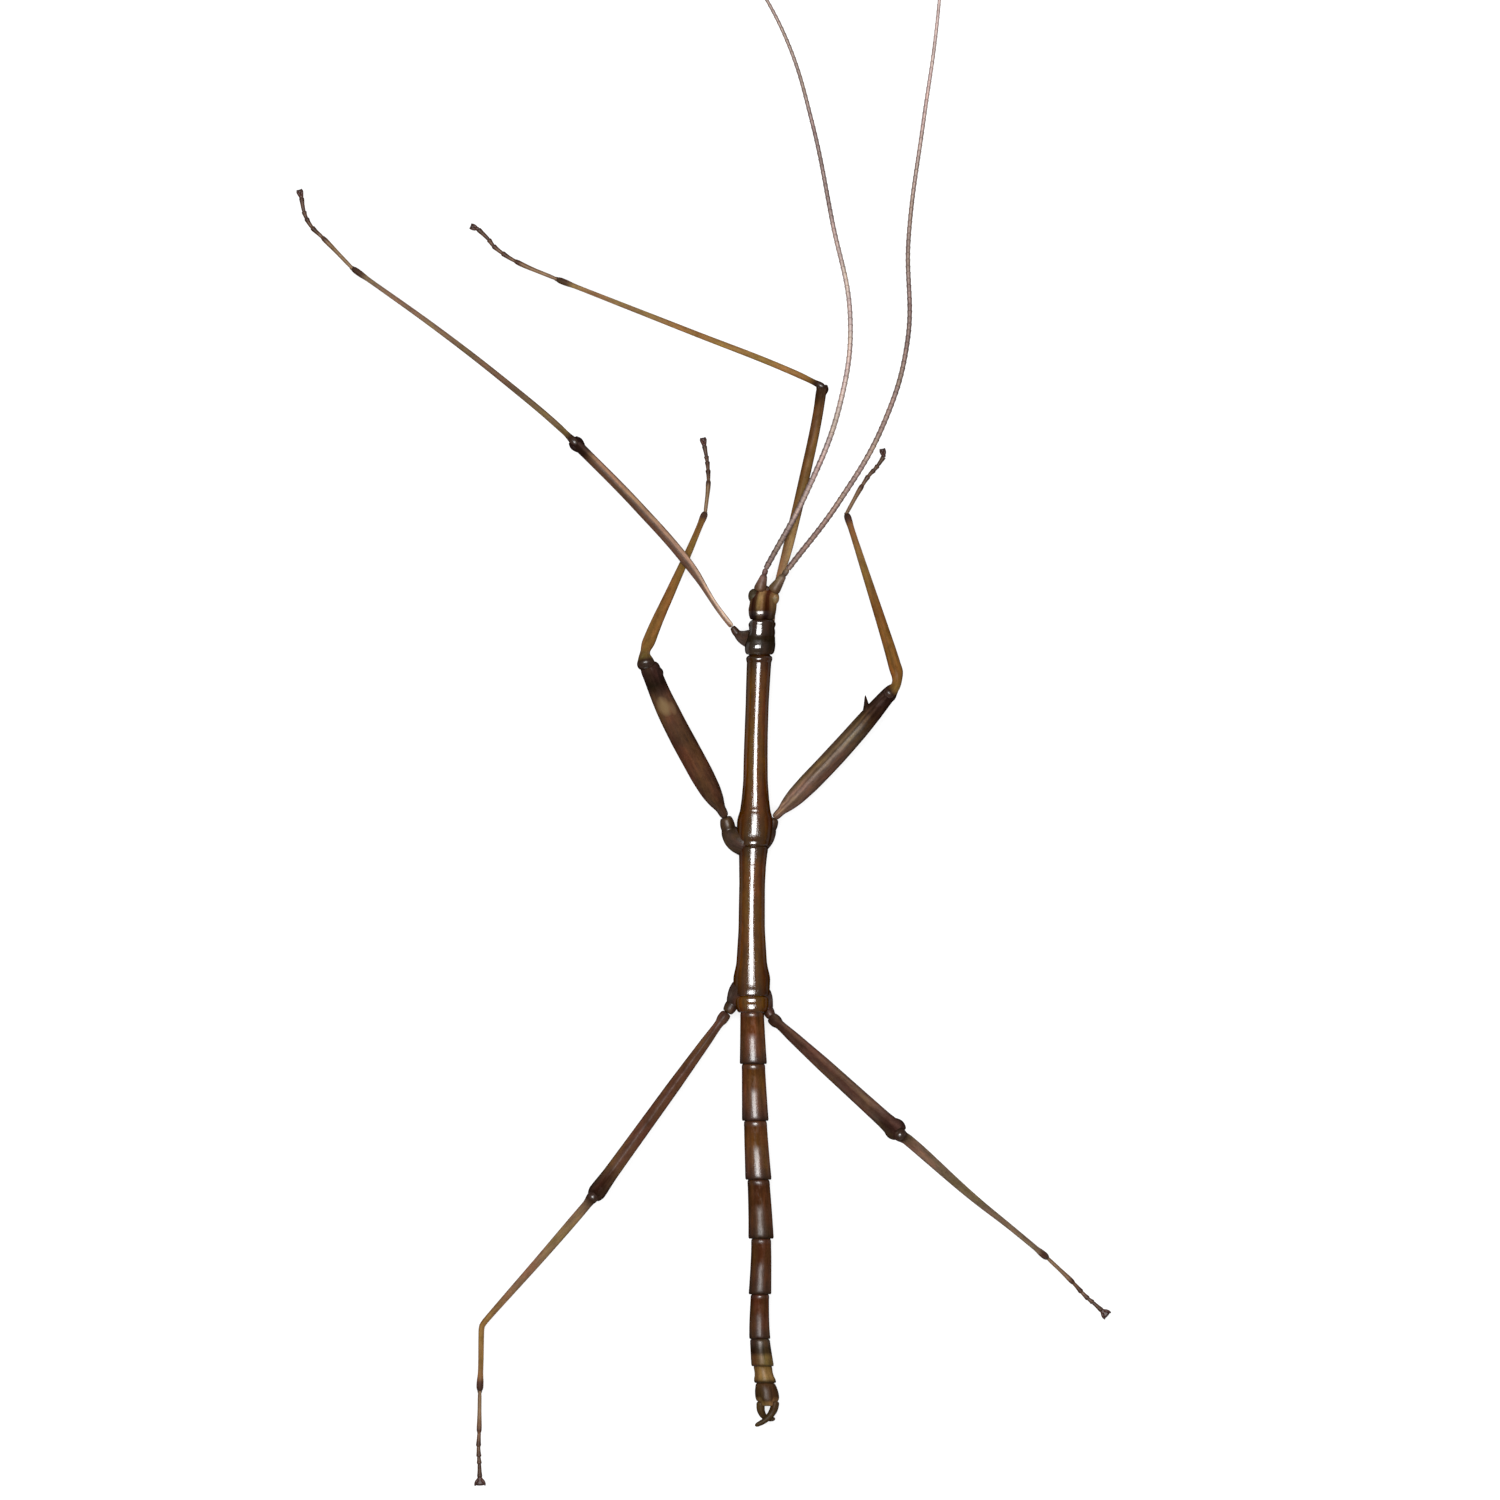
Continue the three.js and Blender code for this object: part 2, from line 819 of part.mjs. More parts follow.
for (const [name, leg] of Object.entries(LEGS)) {
  const shape = LEG_SHAPES[leg.shape];

  const coxaPath = new THREE.CatmullRomCurve3([leg.hip, leg.elbow, leg.base].map(point));
  const coxa = ringsAlong(coxaPath, shape.coxa);
  addPart(`coxa_${name}`, cutClear(loft(coxa, LIMB_SIDES), trunkGaps), COLOURS.dark);
  const coxaGap = loft(swollen(coxa, GAP), LIMB_SIDES);

  const knee = point(leg.knee);
  const ankle = point([...leg.ankle, ANKLE_HEIGHT]);

  const femurPath = bentCurve(point(leg.base), knee, leg.femurBends);
  const femur = ringsAlong(femurPath, shape.femur, leg.width ?? 1);
  let femurSolid = loft(femur, LIMB_SIDES);
  if (leg.spine) {
    femurSolid = joined([femurSolid, spineGeometry(femurPath, leg.spine)]);
  }
  addPart(`femur_${name}`, cutClear(femurSolid, [coxaGap]), COLOURS[leg.shape]);
  const femurGap = loft(swollen(femur, GAP), LIMB_SIDES);

  const tibiaPath = bentCurve(knee, ankle, leg.tibiaBends);
  const tibia = ringsAlong(tibiaPath, shape.tibia);
  addPart(`tibia_${name}`, cutClear(loft(tibia, LIMB_SIDES), [femurGap]), COLOURS.shin);
  const tibiaGap = loft(swollen(tibia, GAP), LIMB_SIDES);

  const toes = tarsusPoints(leg, ankle);
  const tarsus = tarsusRings(toes);
  addPart(`tarsus_${name}`, cutClear(loft(tarsus, FEELER_SIDES), [tibiaGap]), COLOURS.shin);
  const tarsusGap = loft(swollen(tarsus, GAP), FEELER_SIDES);

  const foot = footGeometry(toes.at(-1), heading(leg.tarsusTurns.at(-1)));
  addPart(`foot_${name}`, cutClear(foot, [tarsusGap]), COLOURS.dark);
}

// The origin goes under the middle of the whole outline, on the floor.
const outline = new THREE.Box3().setFromObject(insect);
const middle = outline.getCenter(new THREE.Vector3());
insect.position.set(-middle.x, -middle.y, 0);

export default insect;
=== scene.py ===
# %% [markdown]
# # A stick insect, life size
#
# This lesson builds a walkingstick: a slender insect whose trunk is a row of hard,
# glossy plates, with six jointed legs and two long feelers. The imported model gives
# every piece its place. Each of its plain solids is replaced here by a finer piece
# of the same size, modelled with Blender's own operators.

import json
import math

import bmesh
import bpy
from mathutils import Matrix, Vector

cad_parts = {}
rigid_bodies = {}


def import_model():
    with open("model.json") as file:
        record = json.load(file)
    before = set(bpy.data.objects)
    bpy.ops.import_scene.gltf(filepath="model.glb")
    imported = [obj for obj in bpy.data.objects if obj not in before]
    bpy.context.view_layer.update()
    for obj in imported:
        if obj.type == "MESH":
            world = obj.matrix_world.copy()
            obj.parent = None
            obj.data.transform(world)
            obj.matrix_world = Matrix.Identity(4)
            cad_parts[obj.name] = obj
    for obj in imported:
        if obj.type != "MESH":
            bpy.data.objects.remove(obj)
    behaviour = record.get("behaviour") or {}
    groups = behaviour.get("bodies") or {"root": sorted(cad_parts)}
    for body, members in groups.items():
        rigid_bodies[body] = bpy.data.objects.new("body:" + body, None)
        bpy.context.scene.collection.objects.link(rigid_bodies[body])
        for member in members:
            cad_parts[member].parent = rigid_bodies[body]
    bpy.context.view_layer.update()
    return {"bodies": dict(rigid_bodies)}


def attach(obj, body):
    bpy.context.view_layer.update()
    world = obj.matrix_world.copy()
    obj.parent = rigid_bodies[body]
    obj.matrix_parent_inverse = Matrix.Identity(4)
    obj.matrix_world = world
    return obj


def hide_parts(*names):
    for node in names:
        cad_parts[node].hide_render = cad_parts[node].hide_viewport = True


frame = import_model()

# %% [markdown]
# ## Millimetres
#
# An insect is easier to draw in millimetres than in metres. All pieces are modelled
# with one unit to the millimetre, on a drawing whose origin is the floor under the
# hind hips. When a piece is finished it is shrunk a thousand times and moved by
# PLACE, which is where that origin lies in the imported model.

# %% The drawing's scale and place
MM = 0.001
PLACE = Vector((4.461, -26.1113, 0)) * MM
ROOT = next(iter(frame["bodies"]))
print("every piece rides on", ROOT)


# %% [markdown]
# ## A tube, ring by ring
#
# Nearly every part of an insect is a tube: trunk, legs and feelers alike. Each one
# starts as a flat disc that looks along the X axis. The disc is extruded to the next
# ring and scaled there, and so on to the far end. This is how such a shape is drawn
# by hand, and every swelling or waist is one more ring. A tube lies along +X with
# its left side at +Y and its back up.
#
# An operator acts on all that is selected, so a selection comes before each step.
# With no window to click in, the corners are picked in code, by their place.

# %% Select what to work on
def everything_off():
    """Nothing stays selected, so the next operator only acts on the new piece."""
    bpy.ops.object.select_all(action="DESELECT")


def only(piece):
    everything_off()
    piece.select_set(True)
    bpy.context.view_layer.objects.active = piece


def pick(piece, wanted):
    """In edit mode, selects just the corners for which wanted(place) is true."""
    mesh = bmesh.from_edit_mesh(piece.data)
    for corner in mesh.verts:
        corner.select_set(bool(wanted(corner.co)))
    mesh.select_flush_mode()
    bmesh.update_edit_mesh(piece.data)


# %% [markdown]
# ## The start of a tube
#
# Legs and trunk aren't quite round: low keels run along them and catch the light. A
# keel could be pulled out of the finished tube, but it is easier to pull one corner
# of the disc it starts from, because every later ring then carries the keel along.

# %% Draw a disc
TOUCH = 0.02


def nearest_corner(degrees, sides):
    """The angle of the disc's corner that is nearest to the one asked for."""
    step = 360 / sides
    return round(degrees / step) * step


def disc(name, sides, keels):
    """A disc 1 mm across. A keel is (degrees from the left side, how far it is pulled)."""
    everything_off()
    turn = (math.pi / 2, 0, math.pi / 2)
    bpy.ops.mesh.primitive_circle_add(
        vertices=sides, radius=0.5, fill_type="NGON", rotation=turn,
    )
    bpy.ops.object.transform_apply(location=False, rotation=True, scale=False)
    piece = bpy.context.object
    piece.name = name
    bpy.ops.object.mode_set(mode="EDIT")
    for degrees, pull in keels:
        corner = math.radians(nearest_corner(degrees, sides))
        spot = Vector((0, math.cos(corner), math.sin(corner))) / 2
        pick(piece, lambda co: (co - spot).length < TOUCH)
        bpy.ops.transform.resize(value=(1, pull, pull), center_override=(0, 0, 0))
    bpy.ops.mesh.select_all(action="SELECT")
    return piece


print("a keel asked for at 50 degrees is at", nearest_corner(50, 24), "on a disc of 24 sides")

# %% [markdown]
# ## What the finishes need to know
#
# The colours of a leg run along it, from joint to joint, and so do its streaks. Once
# a tube is bent, its corners no longer tell how far along they lie. So each corner's
# place on the straight tube is written down as an attribute, which stays with the
# corner through every bend, and which a material can read.

# %% Write down the straight shape
NOISE_STRIDE = 7.3


def remember(piece, rings):
    """Writes on each corner where it lies on the straight tube, for the finishes to read.

    skin is (side, share of the length, top), each of side and top from -1 to 1, and
    lay is the plain place in millimetres. Each piece starts elsewhere in the noise,
    so that no two of them share one pattern.
    """
    elsewhere = NOISE_STRIDE * len(bpy.data.objects)
    start, end = rings[0][0], max(rings[-1][0], rings[-2][0], key=abs)
    for name in ("skin", "lay"):
        if name not in piece.data.attributes:
            piece.data.attributes.new(name, "FLOAT_VECTOR", "POINT")
    skin = piece.data.attributes["skin"]
    lay = piece.data.attributes["lay"]
    for corner in piece.data.vertices:
        ring = min(rings, key=lambda row: abs(row[0] - corner.co.x))
        x, width, height, y, z = ring
        side = 2 * (corner.co.y - y) / width
        top = 2 * (corner.co.z - z) / height
        share = (corner.co.x - start) / (end - start)
        skin.data[corner.index].vector = (side, share, top)
        straight = (corner.co.x + elsewhere, corner.co.y - y, corner.co.z - z)
        lay.data[corner.index].vector = straight


print("each piece starts", NOISE_STRIDE, "mm further into the noise than the one before")

# %% [markdown]
# ## From disc to tube
#
# Rings that lie far apart would leave long thin faces, which bend badly. More rings
# are added between them, and the tube is extruded through them all.

# %% Draw a tube
def filled(rows, gap):
    """Adds rows between those that are more than gap apart along the tube."""
    full = [rows[0]]
    for row in rows[1:]:
        was = full[-1]
        steps = max(1, math.ceil(abs(row[0] - was[0]) / gap))
        for step in range(1, steps + 1):
            share = step / steps
            full.append(tuple(a + (b - a) * share for a, b in zip(was, row)))
    return full


def tube(name, rings, sides=12, keels=(), gap=None):
    """Extrudes a disc through rings of (x, width, height, y, z)."""
    if gap:
        rings = filled(rings, gap)
    piece = disc(name, sides, keels)
    was = (0, 1, 1, 0, 0)
    for step, ring in enumerate(rings):
        move = (ring[0] - was[0], ring[3] - was[3], ring[4] - was[4])
        if step == 0:
            bpy.ops.transform.translate(value=move)
        else:
            bpy.ops.mesh.extrude_region_move(TRANSFORM_OT_translate={"value": move})
        centre = (ring[0], ring[3], ring[4])
        size = (1, ring[1] / was[1], ring[2] / was[2])
        bpy.ops.transform.resize(value=size, center_override=centre)
        was = ring
    bpy.ops.mesh.select_all(action="SELECT")
    bpy.ops.mesh.normals_make_consistent(inside=False)
    bpy.ops.object.mode_set(mode="OBJECT")
    remember(piece, rings)
    return piece


print("rings at most 0.4 mm apart:", filled([(0,), (1,)], 0.4))

# %% [markdown]
# ## Bending and smoothing
#
# A leg or feeler is modelled straight and then bent, because straight things are
# easy to measure. The bend is a Curve modifier along a Bezier curve with automatic
# handles through a few points of the limb. Its twist is kept upright, so a keel on
# the back of the straight tube is still on the back of the bent one.

# %% Bend and smooth a piece
CURVE_STEPS = 24


def bone(points, radii=None):
    """A smooth curve through the points, and its length in millimetres."""
    everything_off()
    bpy.ops.curve.primitive_bezier_curve_add()
    line = bpy.context.object
    line.data.twist_mode = "Z_UP"
    line.data.resolution_u = CURVE_STEPS
    spline = line.data.splines[0]
    spline.bezier_points.add(len(points) - 2)
    for number, place in enumerate(points):
        knot = spline.bezier_points[number]
        knot.co = place
        knot.handle_left_type = "AUTO"
        knot.handle_right_type = "AUTO"
        knot.radius = radii[number] if radii else 1
    bpy.context.view_layer.update()
    return line, spline.calc_length()


def use_modifier(piece, kind, **settings):
    """Adds a modifier, sets it and applies it."""
    only(piece)
    bpy.ops.object.modifier_add(type=kind)
    modifier = piece.modifiers[-1]
    for name, value in settings.items():
        setattr(modifier, name, value)
    bpy.ops.object.modifier_apply(modifier=modifier.name)


def bend(piece, line, keep_line=False):
    """Lays a straight piece along a curve, which isn't needed after that."""
    use_modifier(piece, "CURVE", object=line, deform_axis="POS_X")
    if not keep_line:
        bpy.data.objects.remove(line)


def smooth(piece):
    """Rounds a piece off with one level of subdivision."""
    use_modifier(piece, "SUBSURF", levels=1, render_levels=1)


print("steps between two points of a curve:", CURVE_STEPS)

# %% [markdown]
# ## Joining and settling
#
# A finished piece is shrunk to life size and moved to its place, and both are applied
# to the mesh, so that its object sits at the origin. Then it is told which body it
# rides on, and which plain solids it takes the place of.

# %% Join and settle pieces
def join(piece, *others):
    """Makes one piece of several."""
    only(piece)
    for other in others:
        other.select_set(True)
    bpy.ops.object.join()


def settle(piece, nodes, finish, turn=0):
    """Shrinks a finished piece to life size in its place and gives it its finish."""
    only(piece)
    piece.rotation_euler.z = math.radians(turn)
    piece.scale = (MM, MM, MM)
    piece.location = PLACE
    bpy.ops.object.transform_apply(location=True, rotation=True, scale=True)
    bpy.ops.object.mode_set(mode="EDIT")
    bpy.ops.mesh.select_all(action="SELECT")
    bpy.ops.mesh.normals_make_consistent(inside=False)
    bpy.ops.object.mode_set(mode="OBJECT")
    bpy.ops.object.shade_smooth()
    piece.data.materials.clear()
    piece.data.materials.append(finish)
    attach(piece, ROOT)
    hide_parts(*nodes)


print("1 mm on the drawing is", MM, "m in the model")

# %% [markdown]
# ## Soft dents
#
# Grooves, dimples and bumps are made as with a grab brush: a few corners move, and
# their neighbours follow less and less up to a given reach.

# %% Push and pull soft dents
CORE = 0.08
REACH = 0.3


def nudge(piece, place, move, reach=REACH):
    """Moves the corners within CORE of place, and draws those within reach along."""
    only(piece)
    bpy.ops.object.mode_set(mode="EDIT")
    spot = Vector(place)
    mesh = bmesh.from_edit_mesh(piece.data)
    nearest = min((corner.co - spot).length for corner in mesh.verts)
    pick(piece, lambda co: (co - spot).length < max(CORE, nearest + 0.001))
    bpy.ops.transform.translate(
        value=move,
        use_proportional_edit=True,
        proportional_edit_falloff="SMOOTH",
        proportional_size=reach,
    )
    bpy.ops.object.mode_set(mode="OBJECT")


print("a dent draws in all that lies within", REACH, "mm of it")

# %% [markdown]
# ## Finishes
#
# An insect's skin is chitin, a hard and slightly clear shell. It is glossy where it
# is smooth and dull where it is finely wrinkled, and its brown runs in streaks along
# each part, with darker joints. All the finishes come from one recipe. One colour
# ramp runs along the part and another across it, noise drawn out lengthwise makes
# the streaks, and finer noise makes blotches, grain and uneven gloss. The patterns
# read the places that were written on the straight tube, so they follow every bend.

# %% Small helpers for node trees
def tint(colour):
    """A screen colour from 0 to 255 as Blender's linear one."""
    linear = []
    for value in colour:
        share = value / 255
        linear.append(share / 12.92 if share <= 0.04045 else ((share + 0.055) / 1.055) ** 2.4)
    return (*linear, 1)


def tone(colour):
    """How an overlay changes a dark colour: 128 leaves it, 64 halves it, 255 doubles it."""
    return (*(value / 255 for value in colour), 1)


def level(value):
    return (value, value, value, 1)


class Recipe:
    """A material's node tree, written one step at a time."""

    def __init__(self, name):
        self.material = bpy.data.materials.new(name)
        self.material.use_nodes = True
        self.tree = self.material.node_tree
        self.shader = self.tree.nodes["Principled BSDF"]

    def link(self, source, socket):
        self.tree.links.new(source, socket)

    def node(self, kind, **settings):
        made = self.tree.nodes.new(kind)
        for name, value in settings.items():
            setattr(made, name, value)
        return made

    def attribute(self, name):
        return self.node("ShaderNodeAttribute", attribute_name=name).outputs["Vector"]

    def parts(self, vector):
        split = self.node("ShaderNodeSeparateXYZ")
        self.link(vector, split.inputs[0])
        return split.outputs

    def maths(self, operation, first, second=None, third=None, clamp=False):
        made = self.node("ShaderNodeMath", operation=operation, use_clamp=clamp)
        for number, value in enumerate((first, second, third)):
            if value is None:
                continue
            if isinstance(value, (int, float)):
                made.inputs[number].default_value = value
            else:
                self.link(value, made.inputs[number])
        return made.outputs[0]

    def squared(self, value):
        return self.maths("POWER", self.maths("ABSOLUTE", value), 2)

    def unsettle(self, value, noise, strength):
        """Shifts a value from 0 to 1 up and down with the noise."""
        low = self.maths("SUBTRACT", value, strength / 2)
        return self.maths("MULTIPLY_ADD", noise, strength, low, clamp=True)

    def stretch(self, vector, x, y, z):
        made = self.node("ShaderNodeVectorMath", operation="MULTIPLY")
        self.link(vector, made.inputs[0])
        made.inputs[1].default_value = (x, y, z)
        return made.outputs[0]

    def noise(self, vector, scale, detail=3, roughness=0.55):
        made = self.node("ShaderNodeTexNoise")
        self.link(vector, made.inputs["Vector"])
        made.inputs["Scale"].default_value = scale
        made.inputs["Detail"].default_value = detail
        made.inputs["Roughness"].default_value = roughness
        return made.outputs["Fac"]

    def ramp(self, factor, stops, write=tint):
        """stops are (place, value), and write turns each value into a colour."""
        made = self.node("ShaderNodeValToRGB")
        points = made.color_ramp.elements
        while len(points) < len(stops):
            points.new(0.5)
        for point, (place, value) in zip(points, stops):
            point.position = place
            point.color = write(value)
        self.link(factor, made.inputs[0])
        return made.outputs[0]

    def mix(self, blend, share, first, second):
        made = self.node("ShaderNodeMix", data_type="RGBA", blend_type=blend)
        values = {"Factor_Float": share, "A_Color": first, "B_Color": second}
        for socket in made.inputs:
            value = values.get(socket.identifier)
            if value is None:
                continue
            if isinstance(value, (int, float, tuple)):
                socket.default_value = value
            else:
                self.link(value, socket)
        return made.outputs[2]


print("a mid brown is", [round(value, 3) for value in tint((90, 65, 40))])

# %% [markdown]
# ## The recipe for chitin
#
# The colour is built up in layers, as a painter glazes: the ramp along the part, the
# one across it, then streaks, casts of red and olive, blotches and grain. Each layer
# is an overlay, and an overlay of mid grey, 128, changes nothing, so the layers are
# drawn around that value. A mark is a patch of one colour with a ragged edge. The
# same blotches break up the gloss, and a fine bump carries grooves and wrinkles.

# %% The recipe for chitin
STREAKS = ((0.3, (88, 84, 82)), (0.5, (128, 128, 128)), (0.72, (176, 168, 150)))
BLOTCHES = ((0.34, (86, 82, 80)), (0.5, (128, 128, 128)), (0.68, (172, 160, 138)))
FRECKLES = ((0.36, (84, 80, 76)), (0.5, (128, 128, 128)), (0.64, (158, 156, 150)))
HUES = (
    (0.3, (166, 116, 108)), (0.45, (138, 122, 116)), (0.55, (130, 130, 108)),
    (0.7, (140, 150, 84)),
)
RAGGED = 1.2
MARK_EDGE = ((0.15, 0.85), (0.9, 0))
BACK = ((0.7, 0), (0.85, 0.2), (0.95, 1))
DULL = 0.45
POLISHED = 0.13
BUMP_STRENGTH = 0.25
BUMP_HEIGHT = 0.05 * MM


def chitin(
    name, along, across, gloss, streaks=0.8, blotches=0.6, grain=0.4, hues=0.7, wander=0.24,
    depth=0.9, warmth=1.0, marks=(),
):
    """along is a colour ramp, across one of tones, and gloss runs from 0, dull, to 1, polished.

    The sides of a part are granular, so its highlights fade there. A mark is a patch at
    (share of the length, side), with its length in shares, its width, and its colour.
    """
    recipe = Recipe(name)
    lay = recipe.attribute("lay")
    side, share, top = recipe.parts(recipe.attribute("skin"))

    # The ramp along, and the one across, whose bands wander a little as they run.
    colour = recipe.ramp(share, along)
    drift = recipe.noise(recipe.stretch(lay, 0.35, 0.6, 0.6), 1.0)
    place = recipe.maths("MULTIPLY_ADD", side, -0.5, 0.5 - wander / 2)
    place = recipe.maths("MULTIPLY_ADD", drift, wander, place)
    colour = recipe.mix("OVERLAY", 1.0, colour, recipe.ramp(place, across, tone))

    # Noise drawn out along the part for streaks and casts, rounder for the blotches.
    long_noise = recipe.noise(recipe.stretch(lay, 0.25, 3.4, 3.4), 1.0, 4)
    colour = recipe.mix("OVERLAY", streaks, colour, recipe.ramp(long_noise, STREAKS, tone))
    casts = recipe.noise(recipe.stretch(lay, 0.3, 1.1, 1.1), 0.8, 2)
    colour = recipe.mix("OVERLAY", hues, colour, recipe.ramp(casts, HUES, tone))
    patches = recipe.noise(recipe.stretch(lay, 0.7, 1.6, 1.6), 1.3, 5, 0.65)
    colour = recipe.mix("OVERLAY", blotches, colour, recipe.ramp(patches, BLOTCHES, tone))
    fine = recipe.noise(lay, 9, 3, 0.6)
    colour = recipe.mix("OVERLAY", grain, colour, recipe.ramp(fine, FRECKLES, tone))

    # A mark fades with the squared distance from its middle.
    ragged = recipe.maths("MULTIPLY_ADD", patches, RAGGED, -RAGGED / 2)
    for mark_share, mark_side, long, wide, mark_colour in marks:
        off_share = recipe.maths("MULTIPLY_ADD", share, 1 / long, -mark_share / long)
        off_side = recipe.maths("MULTIPLY_ADD", side, 1 / wide, -mark_side / wide)
        off = recipe.maths("ADD", recipe.squared(off_share), ragged)
        off = recipe.maths("ADD", recipe.squared(off_side), off)
        here = recipe.ramp(off, MARK_EDGE, level)
        colour = recipe.mix("MIX", here, colour, tint(mark_colour))
    deep = recipe.node("ShaderNodeHueSaturation")
    deep.inputs["Saturation"].default_value = warmth
    deep.inputs["Value"].default_value = depth
    recipe.link(colour, deep.inputs["Color"])
    recipe.link(deep.outputs["Color"], recipe.shader.inputs["Base Color"])

    # Gloss makes a part smooth, and only its back mirrors the lamp.
    shine = recipe.unsettle(recipe.ramp(share, gloss, level), patches, 0.5)
    rough = recipe.maths("MULTIPLY_ADD", shine, POLISHED - DULL, DULL)
    rough = recipe.unsettle(rough, fine, 0.16)
    recipe.link(rough, recipe.shader.inputs["Roughness"])
    back = recipe.ramp(recipe.maths("MULTIPLY_ADD", top, 0.5, 0.5), BACK, level)
    mirror = recipe.maths("MULTIPLY", shine, back)
    recipe.link(mirror, recipe.shader.inputs["Specular IOR Level"])

    # Grooves run along the part and wrinkles across it.
    grooves = recipe.noise(recipe.stretch(lay, 0.5, 7, 7), 1.0, 3)
    wrinkles = recipe.noise(recipe.stretch(lay, 3.2, 0.8, 0.8), 1.0, 2)
    dents = recipe.maths("MULTIPLY_ADD", fine, 0.5, grooves)
    dents = recipe.maths("MULTIPLY_ADD", wrinkles, 0.6, dents)
    bump = recipe.node("ShaderNodeBump")
    bump.inputs["Strength"].default_value = BUMP_STRENGTH
    bump.inputs["Distance"].default_value = BUMP_HEIGHT
    recipe.link(dents, bump.inputs["Height"])
    recipe.link(bump.outputs["Normal"], recipe.shader.inputs["Normal"])
    return recipe.material


print("the bump is", round(BUMP_HEIGHT / MM, 3), "mm high at most")

# %% [markdown]
# ## The trunk's axis
#
# The trunk isn't straight. Seen from above it wanders a little to each side, and it
# slopes down towards the tail. These knots say where its middle lies at a few
# places, and a smooth line is drawn through them.

# %% Draw the axis
AXIS = (
    (-38.5, 1.42, 2.48),
    (-35.3, 1.4, 2.5),
    (-31.7, 0.9, 2.6),
    (-28.6, 0.66, 2.65),
    (-20.9, 0.82, 2.85),
    (-10.4, 0.31, 3.1),
    (-1.8, 0.04, 3.3),
    (5.0, -0.03, 3.45),
    (12.4, 0.04, 3.6),
    (17.0, 0.27, 3.7),
    (24.1, 0.36, 3.85),
    (31.6, 0.66, 4.1),
    (35.0, 0.95, 4.25),
    (37.0, 1.06, 4.3),
    (37.8, 1.3, 4.3),
    (39.0, 1.4, 4.3),
)


def axis(y):
    """The middle of the trunk at y, on a smooth line through the knots."""
    last = len(AXIS) - 3
    number = 1
    while number < last and AXIS[number + 1][0] < y:
        number += 1
    before, start, end, after = AXIS[number - 1 : number + 3]
    span = end[0] - start[0]
    share = (y - start[0]) / span
    place = []
    for part in (1, 2):
        rise_in = (end[part] - before[part]) / (end[0] - before[0]) * span
        rise_out = (after[part] - start[part]) / (after[0] - start[0]) * span
        curve = (2 * share**3 - 3 * share**2 + 1) * start[part]
        curve += (share**3 - 2 * share**2 + share) * rise_in
        curve += (3 * share**2 - 2 * share**3) * end[part]
        curve += (share**3 - share**2) * rise_out
        place.append(curve)
    return place


def plate(name, rows, sides=24, keels=(), gap=0.7):
    """A plate of the trunk from rows of (y, half width, height above the axis, below)."""
    rings = []
    for y, half, above, below in filled(rows, gap):
        x, z = axis(y)
        rings.append((y, 2 * half, above + below, -x, z + (above - below) / 2))
    return tube(name, rings, sides, keels)


print("the axis passes the hind hips at", [round(value, 2) for value in axis(0)])

# %% [markdown]
# ## Finishes of the trunk
#
# The plates of the trunk are the glossiest parts. Their sides are darkened with
# painted shade, and olive and red-brown streaks run along either side of the middle.

# %% Mix the trunk's finishes
# Painted shade: the ramps across the trunk and the rings turn dark at both sides, where the
# plates curve away from the lamp.
EDGE_SHADE = (78, 65, 52)
trunk_finish = chitin(
    "trunk_shell",
    along=(
        (0, (40, 29, 24)), (0.05, (50, 36, 28)), (0.1, (64, 46, 33)), (0.17, (76, 54, 36)),
        (0.6, (80, 56, 36)), (0.88, (66, 46, 36)), (1, (52, 38, 32)),
    ),
    across=(
        (0, EDGE_SHADE), (0.16, (136, 110, 96)), (0.34, (146, 138, 84)), (0.5, (150, 128, 100)),
        (0.66, (150, 138, 88)), (0.84, (116, 92, 88)), (1, EDGE_SHADE),
    ),
    gloss=((0, 0.9), (0.5, 1), (1, 0.9)),
    depth=0.72,
    warmth=1.25,
)
# Painted shade: the ramp along is darkest at the fold across the middle of the prothorax, and
# the ramp across darkens its sides.
collar_finish = chitin(
    "collar_shell",
    along=((0, (54, 40, 34)), (0.4, (46, 36, 31)), (0.62, (34, 29, 22)), (1, (48, 36, 30))),
    across=(
        (0, (80, 68, 62)), (0.3, (132, 116, 106)), (0.5, (126, 114, 98)), (0.7, (104, 98, 76)),
        (1, (72, 64, 56)),
    ),
    gloss=(
        (0, 0.8), (0.15, 1), (0.46, 1), (0.52, 0.1), (0.66, 0.1), (0.74, 1), (0.88, 0.9),
        (1, 0.4),
    ),
    depth=0.72,
    warmth=1.15,
)
# The rings' ramp across ends in the same painted shade at both sides.
RING_TONES = (
    (0, EDGE_SHADE),
    (0.14, (118, 100, 88)),
    (0.34, (134, 110, 92)),
    (0.55, (140, 124, 104)),
    (0.76, (124, 118, 88)),
    (0.88, (136, 122, 108)),
    (1, (130, 116, 104)),
)
ring_finish = chitin(
    "abdomen_shell",
    along=(
        (0, (70, 44, 28)), (0.3, (84, 56, 34)), (0.7, (82, 54, 34)), (0.93, (58, 38, 28)),
        (1, (34, 24, 18)),
    ),
    across=RING_TONES,
    gloss=((0, 0.6), (0.07, 0.64), (0.12, 0), (0.4, 0.05), (0.54, 0.46), (0.92, 0.6), (1, 0)),
    depth=0.7,
)
hind_ring_finish = chitin(
    "hind_abdomen_shell",
    along=(
        (0, (62, 40, 27)), (0.3, (70, 46, 30)), (0.7, (68, 44, 28)), (0.93, (56, 38, 28)),
        (1, (34, 24, 18)),
    ),
    across=RING_TONES,
    gloss=((0, 0.4), (0.07, 0.45), (0.12, 0), (0.4, 0.02), (0.54, 0.25), (0.92, 0.34), (1, 0)),
    depth=0.66,
)
print("trunk finishes:", trunk_finish.name, collar_finish.name, ring_finish.name)

